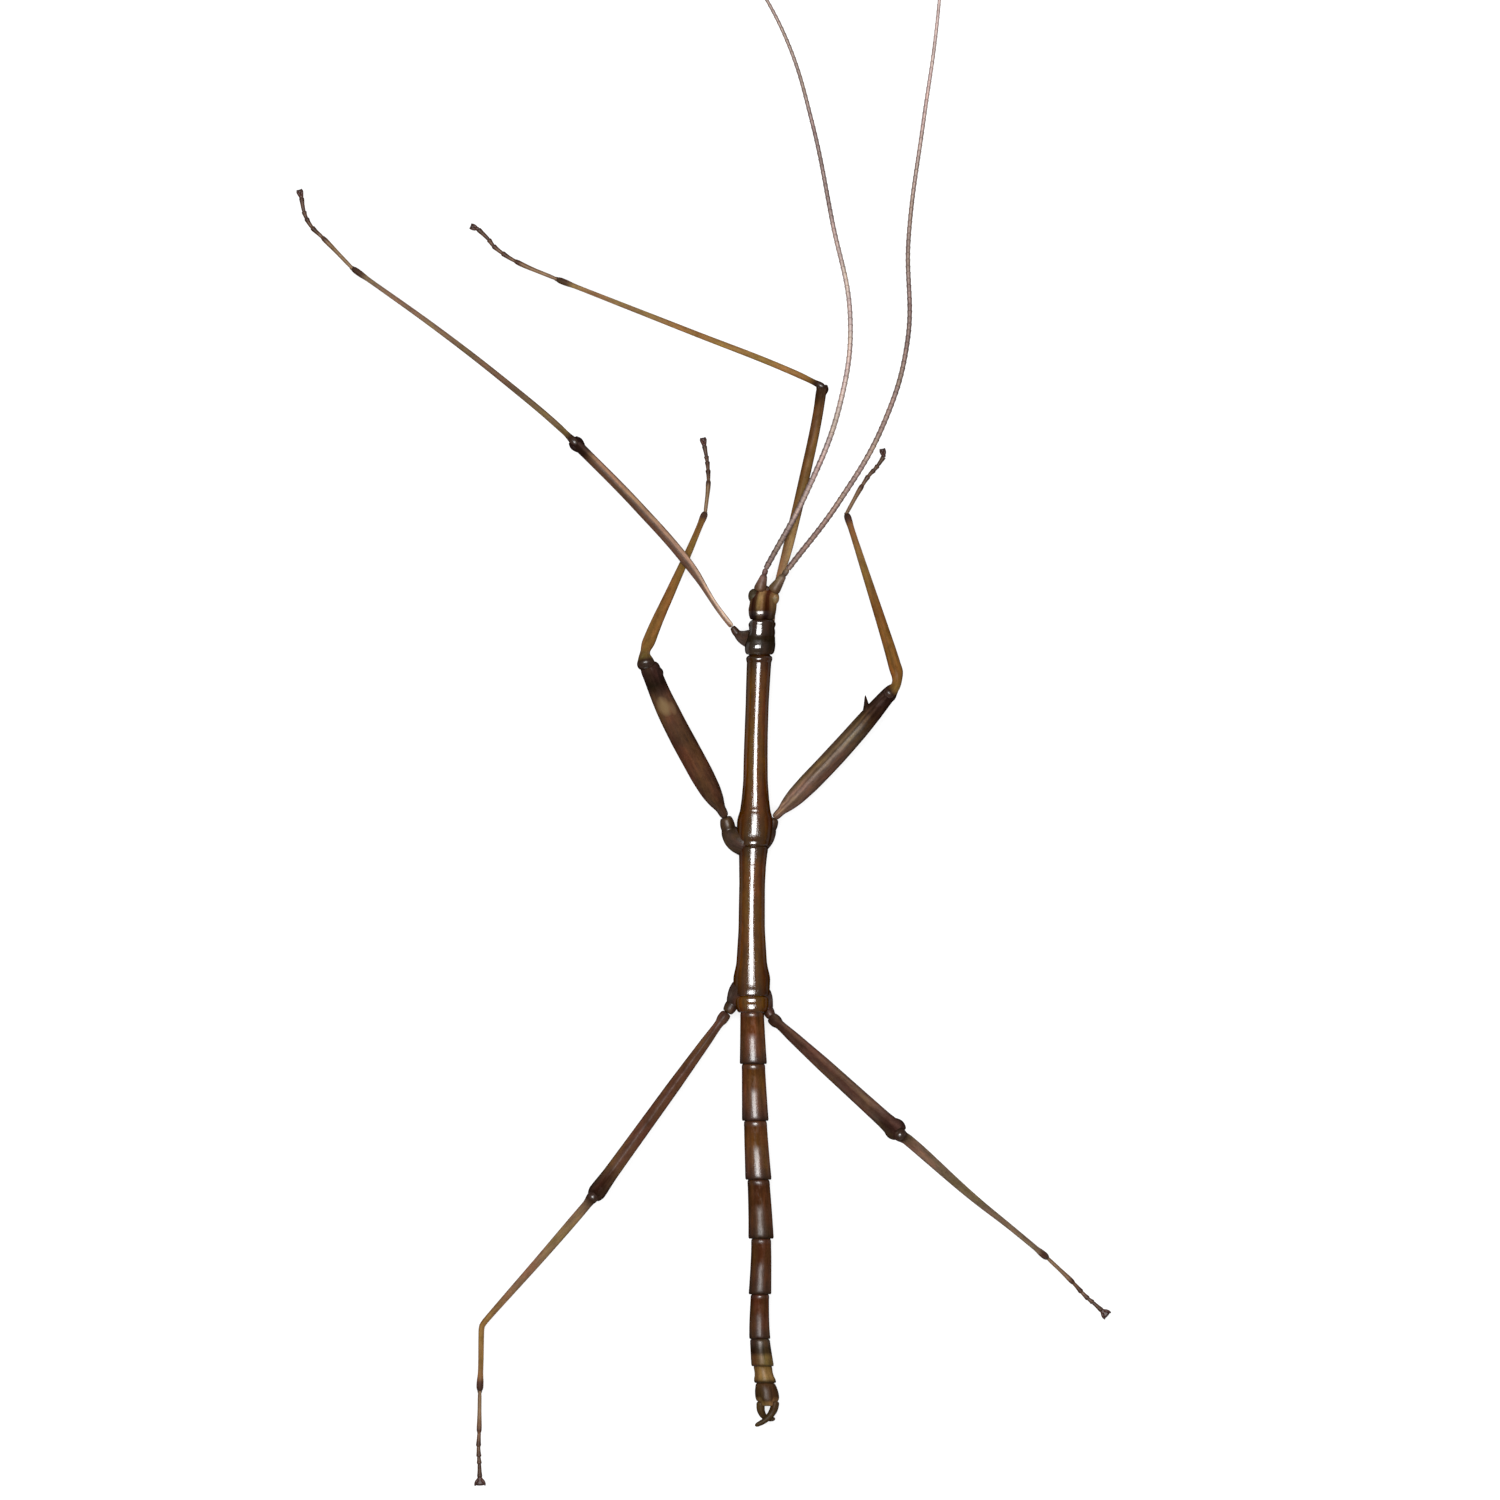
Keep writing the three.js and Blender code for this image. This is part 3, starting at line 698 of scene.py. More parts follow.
# %% [markdown]
# ## Prothorax
#
# The first plate behind the head carries the fore legs. It is a saddle with a raised
# rim at each end and a deep fold across the middle, so its highlight breaks there.
# Its crest leans to the left, because the insect lies a little turned. The crest is
# picked and slid, and proportional editing takes the rest of the plate along.

# %% Model the prothorax
CREST_REACH = 0.8


def lean(piece, aside, lift):
    """Slides what is higher than lift above the axis to the left."""
    only(piece)
    bpy.ops.object.mode_set(mode="EDIT")
    pick(piece, lambda co: co.z > axis(co.x)[1] + lift)
    bpy.ops.transform.translate(
        value=(0, aside, 0),
        use_proportional_edit=True,
        proportional_edit_falloff="SMOOTH",
        proportional_size=CREST_REACH,
    )
    bpy.ops.object.mode_set(mode="OBJECT")


pronotum = plate(
    "pronotum",
    (
        (35.2, 0.7, 0.66, 0.66),
        (34.98, 0.84, 0.8, 0.8),
        (34.9, 1.0, 0.96, 0.95),
        (34.78, 1.12, 1.06, 1.02),
        (34.62, 1.19, 1.08, 1.06),
        (34.45, 1.19, 1.03, 1.06),
        (34.2, 1.13, 1.08, 1.08),
        (33.7, 1.18, 1.11, 1.1),
        (33.35, 1.24, 1.08, 1.12),
        (33.15, 1.3, 1.0, 1.12),
        (32.98, 1.34, 0.99, 1.14),
        (32.8, 1.37, 1.06, 1.16),
        (32.5, 1.39, 1.13, 1.16),
        (32.2, 1.36, 1.1, 1.14),
        (32.02, 1.32, 1.0, 1.1),
        (31.92, 1.27, 1.0, 1.06),
        (31.84, 1.2, 0.98, 1.04),
        (31.76, 1.04, 0.86, 0.9),
    ),
    gap=0.3,
)
for side in (-1, 1):
    nudge(pronotum, (34.4, -0.9 + side * 1.15, 4.2), (0, side * 0.1, 0), 0.35)
    nudge(pronotum, (32.7, -0.74 + side * 0.85, 4.95), (0, 0, -0.08), 0.3)
    nudge(pronotum, (33.4, -0.8 + side * 0.72, 5.05), (0, 0, -0.06), 0.25)
nudge(pronotum, (34.0, -0.87, 5.3), (0, 0, -0.03), 0.2)
lean(pronotum, 0.2, 0.8)
smooth(pronotum)
settle(pronotum, ["prothorax"], collar_finish, turn=90)
print("pronotum faces:", len(pronotum.data.polygons))

# %% [markdown]
# ## Mesothorax
#
# Two long plates make up most of the stick. Each is nearly a cylinder and widens at
# its rear end, where the legs grow from it. A low ridge runs down the back. Fine
# folds across it, where plates have grown together, are rows that dip. Behind the
# last fold small dents and bumps are pushed into the smooth shape.

# %% Model the mesothorax
BACK_RIDGE = ((75, 0.985), (90, 1.01), (105, 0.985))
mesonotum = plate(
    "mesonotum",
    (
        (32.1, 0.8, 0.72, 0.75),
        (31.85, 0.9, 0.82, 0.82),
        (31.72, 0.97, 0.87, 0.87),
        (31.62, 1.16, 1.06, 1.0),
        (31.45, 1.21, 1.14, 1.06),
        (31.25, 1.18, 1.12, 1.06),
        (31.13, 1.12, 1.0, 1.03),
        (31.0, 1.11, 1.02, 1.02),
        (30.8, 1.11, 1.06, 1.02),
        (27.4, 1.05, 1.04, 1.02),
        (24.9, 1.06, 1.05, 1.03),
        (24.8, 1.06, 1.03, 1.03),
        (24.7, 1.06, 1.05, 1.03),
        (20.4, 1.12, 1.07, 1.07),
        (18.7, 1.26, 1.1, 1.14),
        (18.0, 1.36, 1.1, 1.18),
        (17.8, 1.38, 1.02, 1.18),
        (17.6, 1.42, 1.08, 1.2),
        (17.3, 1.46, 1.15, 1.24),
        (16.4, 1.56, 1.17, 1.28),
        (15.5, 1.58, 1.14, 1.26),
        (15.12, 1.52, 1.08, 1.22),
        (14.98, 1.47, 0.98, 1.18),
        (14.84, 1.46, 1.05, 1.18),
        (14.66, 1.42, 1.02, 1.14),
        (14.56, 1.2, 0.85, 0.95),
    ),
    keels=BACK_RIDGE,
)
for side in (-1, 1):
    nudge(mesonotum, (16.7, -0.27 + side * 1.5, 3.5), (0, side * 0.14, 0), 1.0)
    nudge(mesonotum, (15.6, -0.2 + side * 0.95, 4.55), (0, side * 0.04, 0.06), 0.5)
for y, side, rise in (
    (16.6, 1.0, 0.1), (16.9, 0.55, -0.05), (15.9, 0.7, -0.06), (31.2, 1.1, 0.07),
):
    nudge(mesonotum, (y, -axis(y)[0] + side, axis(y)[1] + 0.8), (0, 0, rise), 0.35)
smooth(mesonotum)
settle(mesonotum, ["mesothorax"], trunk_finish, turn=90)
print("mesonotum faces:", len(mesonotum.data.polygons))

# %% [markdown]
# ## Metathorax
#
# The second long plate carries the hind legs. It starts narrow, because it slips
# under the rim of the first, and it widens more at its rear end. It is made in the
# same way and shares the first one's finish.

# %% Model the metathorax
metanotum = plate(
    "metanotum",
    (
        (14.9, 1.0, 0.74, 0.8),
        (14.58, 1.18, 0.85, 0.95),
        (14.46, 1.34, 1.0, 1.14),
        (14.2, 1.33, 0.98, 1.12),
        (13.9, 1.29, 1.04, 1.1),
        (13.4, 1.26, 1.08, 1.1),
        (12.9, 1.23, 1.06, 1.08),
        (12.75, 1.22, 1.03, 1.08),
        (12.6, 1.22, 1.06, 1.08),
        (11.2, 1.17, 1.06, 1.04),
        (7.1, 1.2, 1.06, 1.06),
        (4.6, 1.36, 1.1, 1.16),
        (4.2, 1.38, 1.06, 1.16),
        (3.9, 1.42, 1.1, 1.18),
        (2.8, 1.58, 1.14, 1.26),
        (1.9, 1.64, 1.12, 1.24),
        (1.55, 1.62, 1.04, 1.22),
        (1.3, 1.62, 1.09, 1.2),
        (1.14, 1.56, 1.08, 1.16),
        (1.02, 1.35, 0.9, 1.0),
    ),
    keels=BACK_RIDGE,
)
for side in (-1, 1):
    nudge(metanotum, (2.6, -0.02 + side * 1.6, 3.2), (0, side * 0.12, 0), 1.0)
for y, side, rise in (
    (2.3, 1.2, 0.1), (3.0, 0.8, -0.06), (1.8, 0.6, -0.06), (2.7, -0.7, -0.05),
):
    nudge(metanotum, (y, -axis(y)[0] + side, axis(y)[1] + 0.8), (0, 0, rise), 0.35)
smooth(metanotum)
settle(metanotum, ["metathorax"], trunk_finish, turn=90)
print("metanotum faces:", len(metanotum.data.polygons))

# %% [markdown]
# ## The ring that joins trunk and abdomen
#
# The first ring of the abdomen is grown onto the metathorax and shares its gloss. A
# dip before and a fine seam across it are all that tell the two apart.

# %% Model the first ring
median = plate(
    "tergite_1",
    (
        (1.35, 1.15, 0.74, 0.8),
        (1.06, 1.3, 0.88, 0.95),
        (0.96, 1.52, 1.03, 1.12),
        (0.7, 1.53, 1.06, 1.13),
        (0.4, 1.5, 1.03, 1.1),
        (0.3, 1.49, 0.98, 1.1),
        (0.2, 1.48, 1.03, 1.08),
        (-0.05, 1.42, 1.03, 1.05),
        (-0.25, 1.36, 1.0, 1.02),
        (-0.38, 1.26, 0.93, 0.96),
        (-0.42, 1.0, 0.8, 0.8),
    ),
    gap=0.3,
)
smooth(median)
settle(median, ["abdomen_1"], trunk_finish, turn=90)
print("first ring faces:", len(median.data.polygons))

# %% [markdown]
# ## Abdomen
#
# The abdomen is a telescope of rings. Each ring starts narrow under the rim of the
# one before, swells towards its own rim and folds in on itself there. One profile
# serves them all, so it is drawn once as shares of the ring's length and size. The
# last rows of it turn forward again, which hollows out the rim.

# %% Model the rings of the abdomen
RING = (
    (-0.035, 0.78, 0.78, 0.8),
    (-0.005, 0.86, 0.85, 0.87),
    (0.015, 0.89, 0.9, 0.89),
    (0.045, 0.9, 0.91, 0.9),
    (0.075, 0.9, 0.89, 0.9),
    (0.1, 0.895, 0.87, 0.9),
    (0.2, 0.91, 0.885, 0.91),
    (0.4, 0.935, 0.93, 0.93),
    (0.55, 0.955, 0.975, 0.95),
    (0.7, 0.975, 0.995, 0.97),
    (0.85, 1.0, 1.0, 1.0),
    (0.925, 1.015, 1.0, 1.01),
    (0.955, 1.02, 0.985, 1.01),
    (0.98, 1.0, 0.94, 0.98),
    (0.99, 0.9, 0.85, 0.88),
    (0.96, 0.85, 0.8, 0.83),
)


def abdomen_ring(number, front, length, width, height, finish):
    """Ring number begins at front and is as long, wide and high as its numbers say."""
    rows = []
    for share, wide, above, below in RING:
        y = front - share * length
        rows.append((y, wide * width / 2, above * height / 2, below * height / 2))
    ring = plate(f"tergite_{number}", rows, gap=0.8)
    smooth(ring)
    settle(ring, [f"abdomen_{number}"], finish, turn=90)


front = -0.42
for number, length, width, height in (
    (2, 4.67, 2.42, 2.12),
    (3, 5.12, 2.38, 2.08),
    (4, 5.3, 2.34, 2.04),
    (5, 5.3, 2.26, 1.96),
    (6, 5.0, 2.02, 1.82),
    (7, 4.0, 1.88, 1.78),
):
    finish = ring_finish if number < 5 else hind_ring_finish
    abdomen_ring(number, front, length, width, height, finish)
    front -= length
print("ring 7 ends at", round(front, 2))

# %% [markdown]
# ## Finishes of the tail
#
# The last rings are duller than the others and change colour from one to the next.
# Ring 8 turns from dark to ochre, ring 9 is the palest, and ring 10 is dark with a
# pale end. Each gets its own ramp along, and the plate below them is plain and dark.

# %% Mix the tail's finishes
tail_finish = chitin(
    "tail_shell",
    along=(
        (0, (54, 44, 34)), (0.15, (60, 48, 38)), (0.34, (44, 35, 23)), (0.5, (46, 36, 22)),
        (0.66, (90, 76, 48)), (0.9, (84, 72, 44)), (1, (40, 32, 20)),
    ),
    across=(
        (0, (72, 56, 52)), (0.2, (60, 42, 32)), (0.34, (90, 78, 64)), (0.5, (140, 130, 106)),
        (0.62, (130, 124, 92)), (0.8, (118, 114, 84)), (1, (90, 76, 70)),
    ),
    gloss=((0, 0.2), (0.1, 0.4), (0.4, 0.1), (1, 0.15)),
)
pale_finish = chitin(
    "pale_tail_shell",
    along=(
        (0, (80, 64, 36)), (0.25, (104, 84, 50)), (0.6, (116, 96, 62)), (0.78, (104, 86, 54)),
        (0.9, (58, 46, 26)), (1, (40, 30, 18)),
    ),
    across=(
        (0, (80, 66, 54)), (0.14, (76, 58, 44)), (0.3, (132, 124, 106)), (0.6, (134, 128, 106)),
        (0.86, (124, 116, 92)), (1, (80, 68, 56)),
    ),
    gloss=((0, 0.1), (0.5, 0.15), (1, 0.1)),
)
dark_finish = chitin(
    "dark_shell",
    along=((0, (64, 49, 31)), (0.3, (54, 40, 25)), (0.7, (50, 37, 24)), (1, (58, 45, 30))),
    across=(
        (0, (92, 82, 76)), (0.4, (126, 112, 100)), (0.6, (134, 124, 104)), (1, (96, 84, 76)),
    ),
    gloss=((0, 0.08), (1, 0.12)),
)
last_ring_finish = chitin(
    "last_ring_shell",
    along=(
        (0, (66, 50, 32)), (0.3, (56, 40, 24)), (0.7, (54, 39, 24)), (0.84, (92, 73, 50)),
        (1, (104, 84, 60)),
    ),
    across=(
        (0, (92, 82, 76)), (0.4, (124, 112, 98)), (0.62, (138, 126, 104)), (1, (96, 84, 76)),
    ),
    gloss=((0, 0.08), (0.6, 0.12), (1, 0)),
)
print("tail finishes:", tail_finish.name, pale_finish.name, last_ring_finish.name)

# %% [markdown]
# ## Ring 8
#
# The last three rings of a male are short and swollen. Each has its own profile, in
# shares of its length and size as before, and one helper models them all.

# %% Model ring 8
SHORT_RING = (
    (-0.06, 0.78, 0.78, 0.8),
    (0, 0.88, 0.88, 0.88),
    (0.06, 0.91, 0.93, 0.92),
    (0.4, 0.95, 0.96, 0.98),
    (0.75, 1.0, 1.0, 1.0),
    (0.9, 1.02, 1.0, 0.98),
    (0.96, 1.0, 0.95, 0.94),
    (0.98, 0.88, 0.85, 0.84),
    (0.93, 0.82, 0.8, 0.8),
)


def short_ring(name, front, length, half, height, profile):
    """A ring that begins at front, with half its width and its whole height."""
    rows = []
    for share, wide, above, below in profile:
        y = front - share * length
        rows.append((y, half * wide, height * above / 2, height * below / 2))
    ring = plate(name, rows, gap=0.3)
    smooth(ring)
    return ring


ring_8 = short_ring("tergite_8", -29.83, 2.45, 1.0, 1.96, SHORT_RING)
settle(ring_8, ["abdomen_8"], tail_finish, turn=90)
print("ring 8 faces:", len(ring_8.data.polygons))

# %% [markdown]
# ## Rings 9 and 10
#
# Ring 9 has a flared rim. Ring 10 is swollen, and its rear end is drawn out above
# into a short tongue. The tongue is pulled from the finished ring: the corners of
# its end are picked and moved.

# %% Model rings 9 and 10
FLARED = (
    (-0.1, 0.8, 0.78, 0.8), (0, 0.88, 0.88, 0.88), (0.3, 0.86, 0.9, 0.94),
    (0.55, 0.9, 0.95, 0.96), (0.74, 1.02, 0.99, 1.0), (0.88, 1.05, 0.99, 1.0),
    (0.97, 1.0, 0.9, 0.94), (0.98, 0.86, 0.8, 0.84), (0.9, 0.8, 0.76, 0.8),
)
ring_9 = short_ring("tergite_9", -32.25, 1.5, 0.96, 1.9, FLARED)
settle(ring_9, ["abdomen_9"], pale_finish, turn=90)
SWOLLEN = (
    (-0.1, 0.72, 0.72, 0.8), (0.0, 0.86, 0.84, 0.88), (0.15, 0.94, 0.95, 0.96),
    (0.45, 1.04, 1.04, 1.0), (0.75, 1.06, 1.02, 0.98), (0.92, 1.0, 0.92, 0.9),
    (1.0, 0.86, 0.78, 0.76), (1.02, 0.6, 0.55, 0.55),
)
ring_10 = short_ring("tergite_10", -33.8, 1.6, 1.03, 1.74, SWOLLEN)
only(ring_10)
bpy.ops.object.mode_set(mode="EDIT")
pick(ring_10, lambda co: co.x < -34.6 and co.z > 2.6 and abs(co.y + 1.36) < 0.5)
bpy.ops.transform.translate(value=(-0.36, 0, 0.02))
bpy.ops.object.mode_set(mode="OBJECT")
settle(ring_10, ["abdomen_10"], last_ring_finish, turn=90)
print("ring 9 and 10 faces:", len(ring_9.data.polygons), len(ring_10.data.polygons))

# %% [markdown]
# ## The plate below the tail
#
# A boat-shaped plate closes rings 9 and 10 from below. It is a tube too, flattened
# from above: its upper side lies below the axis, so its height above is negative.

# %% Model the plate below
boat = plate(
    "poculum_plate",
    (
        (-30.15, 0.3, -0.78, 0.98),
        (-30.35, 0.55, -0.7, 1.15),
        (-31.0, 0.78, -0.6, 1.28),
        (-32.4, 0.84, -0.6, 1.33),
        (-33.4, 0.74, -0.62, 1.28),
        (-33.9, 0.56, -0.7, 1.16),
        (-34.15, 0.25, -0.8, 1.0),
    ),
    sides=16,
    gap=0.4,
)
smooth(boat)
settle(boat, ["poculum"], dark_finish, turn=90)
print("plate faces:", len(boat.data.polygons))

# %% [markdown]
# ## Finish of the head
#
# The head is pale, with a dark stripe on each side of the crown. The stripes are
# stops of the ramp across it, so they run the whole length of the shell. It is dull
# but for one band near the neck, which the gloss ramp gives by its place along.

# %% Mix the head's finish
head_finish = chitin(
    "head_shell",
    along=(
        (0, (104, 82, 60)), (0.3, (98, 80, 56)), (0.6, (84, 66, 46)), (0.85, (50, 36, 30)),
        (1, (40, 30, 24)),
    ),
    across=(
        (0, (150, 140, 130)),
        (0.1, (70, 58, 60)),
        (0.2, (28, 12, 18)),
        (0.32, (50, 32, 28)),
        (0.42, (222, 212, 184)),
        (0.54, (222, 214, 184)),
        (0.62, (100, 74, 52)),
        (0.7, (44, 18, 14)),
        (0.8, (48, 22, 16)),
        (0.88, (150, 140, 126)),
        (1, (170, 160, 148)),
    ),
    gloss=((0, 0.1), (0.5, 0), (0.72, 0), (0.77, 0.75), (0.84, 0.75), (0.89, 0.1), (1, 0)),
    depth=0.8,
    wander=0.1,
)
print("head finish:", head_finish.name)

# %% [markdown]
# ## Head
#
# A walkingstick's head is a smooth capsule, highest at the back and sloping to the
# feelers. A fine groove runs down the middle of the crown and forks towards the two
# sockets. Groove and sockets are rows of soft dents.

# %% Model the head
cranium = plate(
    "cranium",
    (
        (37.82, 0.34, 0.05, 0.3),
        (37.78, 0.7, 0.34, 0.52),
        (37.64, 1.0, 0.56, 0.78),
        (37.4, 1.12, 0.74, 0.92),
        (37.0, 1.16, 0.88, 1.02),
        (36.6, 1.2, 0.96, 1.08),
        (36.2, 1.24, 1.04, 1.1),
        (35.8, 1.22, 1.09, 1.1),
        (35.45, 1.18, 1.11, 1.07),
        (35.2, 1.12, 1.06, 1.02),
        (35.05, 1.09, 0.98, 0.98),
        (34.97, 1.05, 0.9, 0.94),
        (34.93, 0.85, 0.72, 0.75),
    ),
    sides=32,
    gap=0.2,
)
for y, x in ((35.3, 0.98), (35.6, 1.0), (35.9, 1.02), (36.2, 1.04), (36.5, 1.05)):
    nudge(cranium, (y, -x, axis(y)[1] + 1.05), (0, 0, -0.05), 0.2)
for y, spread in ((36.8, 0.3), (37.05, 0.5), (37.3, 0.62)):
    for side in (-1, 1):
        nudge(cranium, (y, -1.1 + side * spread, axis(y)[1] + 0.8), (0, 0, -0.06), 0.24)
for x, z in ((0.66, 4.6), (2.08, 4.66)):
    nudge(cranium, (37.55, -x, z), (-0.14, 0, -0.05), 0.4)
nudge(cranium, (37.75, -1.42, 4.5), (-0.22, 0, -0.05), 0.35)
lean(cranium, 0.24, 0.6)
smooth(cranium)
settle(cranium, ["head"], head_finish, turn=90)
print("cranium faces:", len(cranium.data.polygons))

# %% [markdown]
# ## Placing a loose piece
#
# Most pieces are drawn where they lie. An eye or a claw is easier to draw round the
# origin. It is then scaled, turned and moved, and all three are applied at once. A
# rim, the raised ring of shell round an eye, is drawn that way from a torus.

# %% Draw a rim and place it
def rim(name, radius, thick):
    """A thin ring that looks along X."""
    everything_off()
    bpy.ops.mesh.primitive_torus_add(
        major_radius=radius,
        minor_radius=thick,
        major_segments=32,
        minor_segments=8,
        rotation=(0, math.pi / 2, 0),
    )
    bpy.ops.object.transform_apply(location=False, rotation=True, scale=False)
    ring = bpy.context.object
    ring.name = name
    across = 2 * radius
    remember(ring, [(-thick, across, across, 0, 0), (thick, across, across, 0, 0)])
    return ring


def place(piece, where, size=(1, 1, 1), turn=(0, 0, 0)):
    """Puts a piece somewhere on the drawing and makes that its own shape."""
    only(piece)
    piece.scale = size
    piece.rotation_euler = [math.radians(angle) for angle in turn]
    piece.location = where
    bpy.ops.object.transform_apply(location=True, rotation=True, scale=True)


print("a quarter turn is", round(math.radians(90), 3), "radians")

# %% [markdown]
# ## Eyes
#
# An insect's eye is a dome of hundreds of tiny lenses. An icosphere whose corners
# are bevelled away has a six-sided face for every lens, and each of those faces is
# inset and lifted. A raised rim of shell sits round the eye where it meets the head.

# %% Model the eyes
BEVEL_PERCENT = 36
LENS_INSET = 0.014
LENS_LIFT = 0.012
ORBIT_RADIUS = 0.96
ORBIT_THICK = 0.06


def eye(name, where, outward, size):
    """A faceted eye. outward is 1 for the left side and -1 for the right."""
    everything_off()
    bpy.ops.mesh.primitive_ico_sphere_add(subdivisions=4, radius=1)
    ball = bpy.context.object
    ball.name = name
    remember(ball, [(-1, 2, 2, 0, 0), (1, 2, 2, 0, 0)])
    bpy.ops.object.mode_set(mode="EDIT")
    bpy.ops.mesh.select_all(action="SELECT")
    bpy.ops.mesh.bevel(
        affect="VERTICES", offset_type="PERCENT", offset_pct=BEVEL_PERCENT, segments=1,
    )
    bpy.ops.mesh.select_all(action="DESELECT")
    mesh = bmesh.from_edit_mesh(ball.data)
    for face in mesh.faces:
        face.select_set(len(face.verts) > 4)
    bmesh.update_edit_mesh(ball.data)
    bpy.ops.mesh.inset(thickness=LENS_INSET, depth=LENS_LIFT, use_individual=True)
    bpy.ops.object.mode_set(mode="OBJECT")
    place(ball, where, size)
    orbit = rim(name + "_orbit", ORBIT_RADIUS, ORBIT_THICK)
    middle = (where[0] + 0.16 * outward, where[1], where[2] - 0.04)
    place(orbit, middle, size, (0, 24 * outward, 12 * outward))
    join(ball, orbit)
    return ball


left_eye_finish = chitin(
    "left_eye",
    along=((0, (50, 43, 33)), (0.5, (58, 52, 40)), (1, (48, 40, 30))),
    across=((0, (110, 104, 96)), (0.5, (128, 124, 116)), (1, (100, 92, 84))),
    gloss=((0, 0.1), (1, 0.1)),
    streaks=0.4,
)
# Painted light: both eyes are of one dark shell, and the right one is painted lighter, as it
# catches the lamp.
lit_right_eye_finish = chitin(
    "right_eye",
    along=((0, (98, 82, 54)), (0.5, (112, 96, 62)), (1, (96, 82, 56))),
    across=((0, (110, 104, 96)), (0.5, (128, 124, 116)), (1, (90, 84, 78))),
    gloss=((0, 0.35), (1, 0.35)),
    streaks=0.4,
)
left_eye = eye("left_eye", (0.16, 37.06, 4.56), 1, (0.5, 0.66, 0.44))
settle(left_eye, ["eye_left"], left_eye_finish)
right_eye = eye("right_eye", (2.07, 36.9, 4.44), -1, (0.38, 0.58, 0.42))
settle(right_eye, ["eye_right"], lit_right_eye_finish)
print("eye facets:", len(left_eye.data.polygons))

# %% [markdown]
# ## Finish of the mouth
#
# The mouthparts are of the same shell as the head, darker towards their tips, where
# it is thickest and hardest.

# %% Mix the finish of the mouth
mouth_finish = chitin(
    "mouth_shell",
    along=((0, (96, 78, 56)), (0.5, (78, 58, 42)), (1, (44, 32, 26))),
    across=((0, (110, 100, 96)), (0.5, (134, 126, 116)), (1, (104, 96, 90))),
    gloss=((0, 0.44), (1, 0.59)),
)
print("mouth finish:", mouth_finish.name)

# %% [markdown]
# ## A bent tube in one step
#
# Jaws, palps, hips, claws and claspers are all bent tubes. A strand is such a tube
# along a curve through a few points, with its widths in shares of its length, so the
# same profile fits a long palp and a short one.

# %% Draw a strand
def strand(name, points, widths, sides=10, flat=1.0, keels=()):
    """A bent tube through points; widths are (share of the length, width)."""
    line, length = bone(points)
    rings = [(share * length, width, width * flat, 0, 0) for share, width in widths]
    piece = tube(name, rings, sides, keels, gap=length / 12)
    smooth(piece)
    bend(piece, line)
    return piece


print("a strand has at least 12 rings, and 10 sides unless told otherwise")

# %% [markdown]
# ## Mouthparts
#
# A walkingstick chews leaves. Under the front of the head hang an upper lip, two
# dark jaws behind it, and two pairs of jointed palps that feel the food. All of it
# is small and hidden from above, yet it shows as soon as the model is tipped.

# %% Model the mouthparts
LIP = (
    (0, 0.5), (0.1, 0.74), (0.45, 0.8), (0.52, 0.7), (0.6, 0.78), (0.85, 0.7), (0.97, 0.5),
    (1, 0.3),
)
lip = strand(
    "lip", ((1.27, 37.45, 3.72), (1.29, 37.62, 3.3), (1.31, 37.62, 2.75)), LIP, 14, 0.34,
)
JAW = ((0, 0.3), (0.15, 0.46), (0.5, 0.5), (0.8, 0.34), (1, 0.08))
PALP = (
    (0, 0.14), (0.1, 0.2), (0.3, 0.2), (0.34, 0.14), (0.4, 0.2), (0.64, 0.2), (0.68, 0.13),
    (0.74, 0.19), (0.94, 0.17), (1, 0.06),
)
mouth = [lip]
for side in (-1, 1):
    jaw = (
        (1.3 + 0.3 * side, 37.3, 3.5), (1.32 + 0.38 * side, 37.4, 3.05),
        (1.33 + 0.06 * side, 37.45, 2.68),
    )
    mouth.append(strand("jaw", jaw, JAW, 10, 0.8))
    outer = (
        (1.3 + 0.34 * side, 37.1, 3.4), (1.32 + 0.5 * side, 37.0, 2.95),
        (1.33 + 0.44 * side, 37.28, 2.62),
    )
    mouth.append(strand("outer_palp", outer, PALP, 8))
    inner = (
        (1.3 + 0.16 * side, 36.95, 3.4), (1.32 + 0.22 * side, 36.85, 3.0),
        (1.33 + 0.2 * side, 37.1, 2.7),
    )
    mouth.append(strand("inner_palp", inner, PALP, 8))
join(*mouth)
settle(lip, ["mouthparts"], mouth_finish)
print("mouthparts faces:", len(lip.data.polygons))

# %% [markdown]
# ## The first joints of the feelers
#
# A feeler starts with a thick first joint, the scape, and a bead-like second one. The
# waist between them is a few narrow rings of one tube. The tube is a little flatter
# than it is wide, and its base is sunk in a socket at the front of the head.

# %% Model the first joints of the feelers
scape_finish = chitin(
    "scape_shell",
    along=(
        (0, (74, 54, 36)), (0.2, (80, 64, 50)), (0.6, (98, 82, 76)), (0.74, (66, 52, 50)),
        (0.85, (82, 68, 68)), (1, (104, 88, 86)),
    ),
    across=(
        (0, (110, 104, 104)), (0.3, (146, 140, 140)), (0.6, (130, 120, 112)), (1, (92, 84, 80)),
    ),
    gloss=((0, 0.15), (1, 0.15)),
)
SCAPE = (
    (0, 0.9),
    (0.04, 1.1),
    (0.12, 1.16),
    (0.3, 1.0),
    (0.5, 0.8),
    (0.62, 0.68),
    (0.68, 0.62),
    (0.7, 0.5),
    (0.72, 0.42),
    (0.75, 0.5),
    (0.8, 0.54),
    (0.9, 0.52),
    (0.94, 0.46),
    (0.96, 0.34),
    (1, 0.3),
)
left_scape = strand(
    "left_scape", ((0.66, 37.5, 4.6), (1.08, 38.9, 4.9), (1.26, 39.56, 5.0)), SCAPE, 16, 0.86,
)
settle(left_scape, ["antenna_left_scape"], scape_finish)
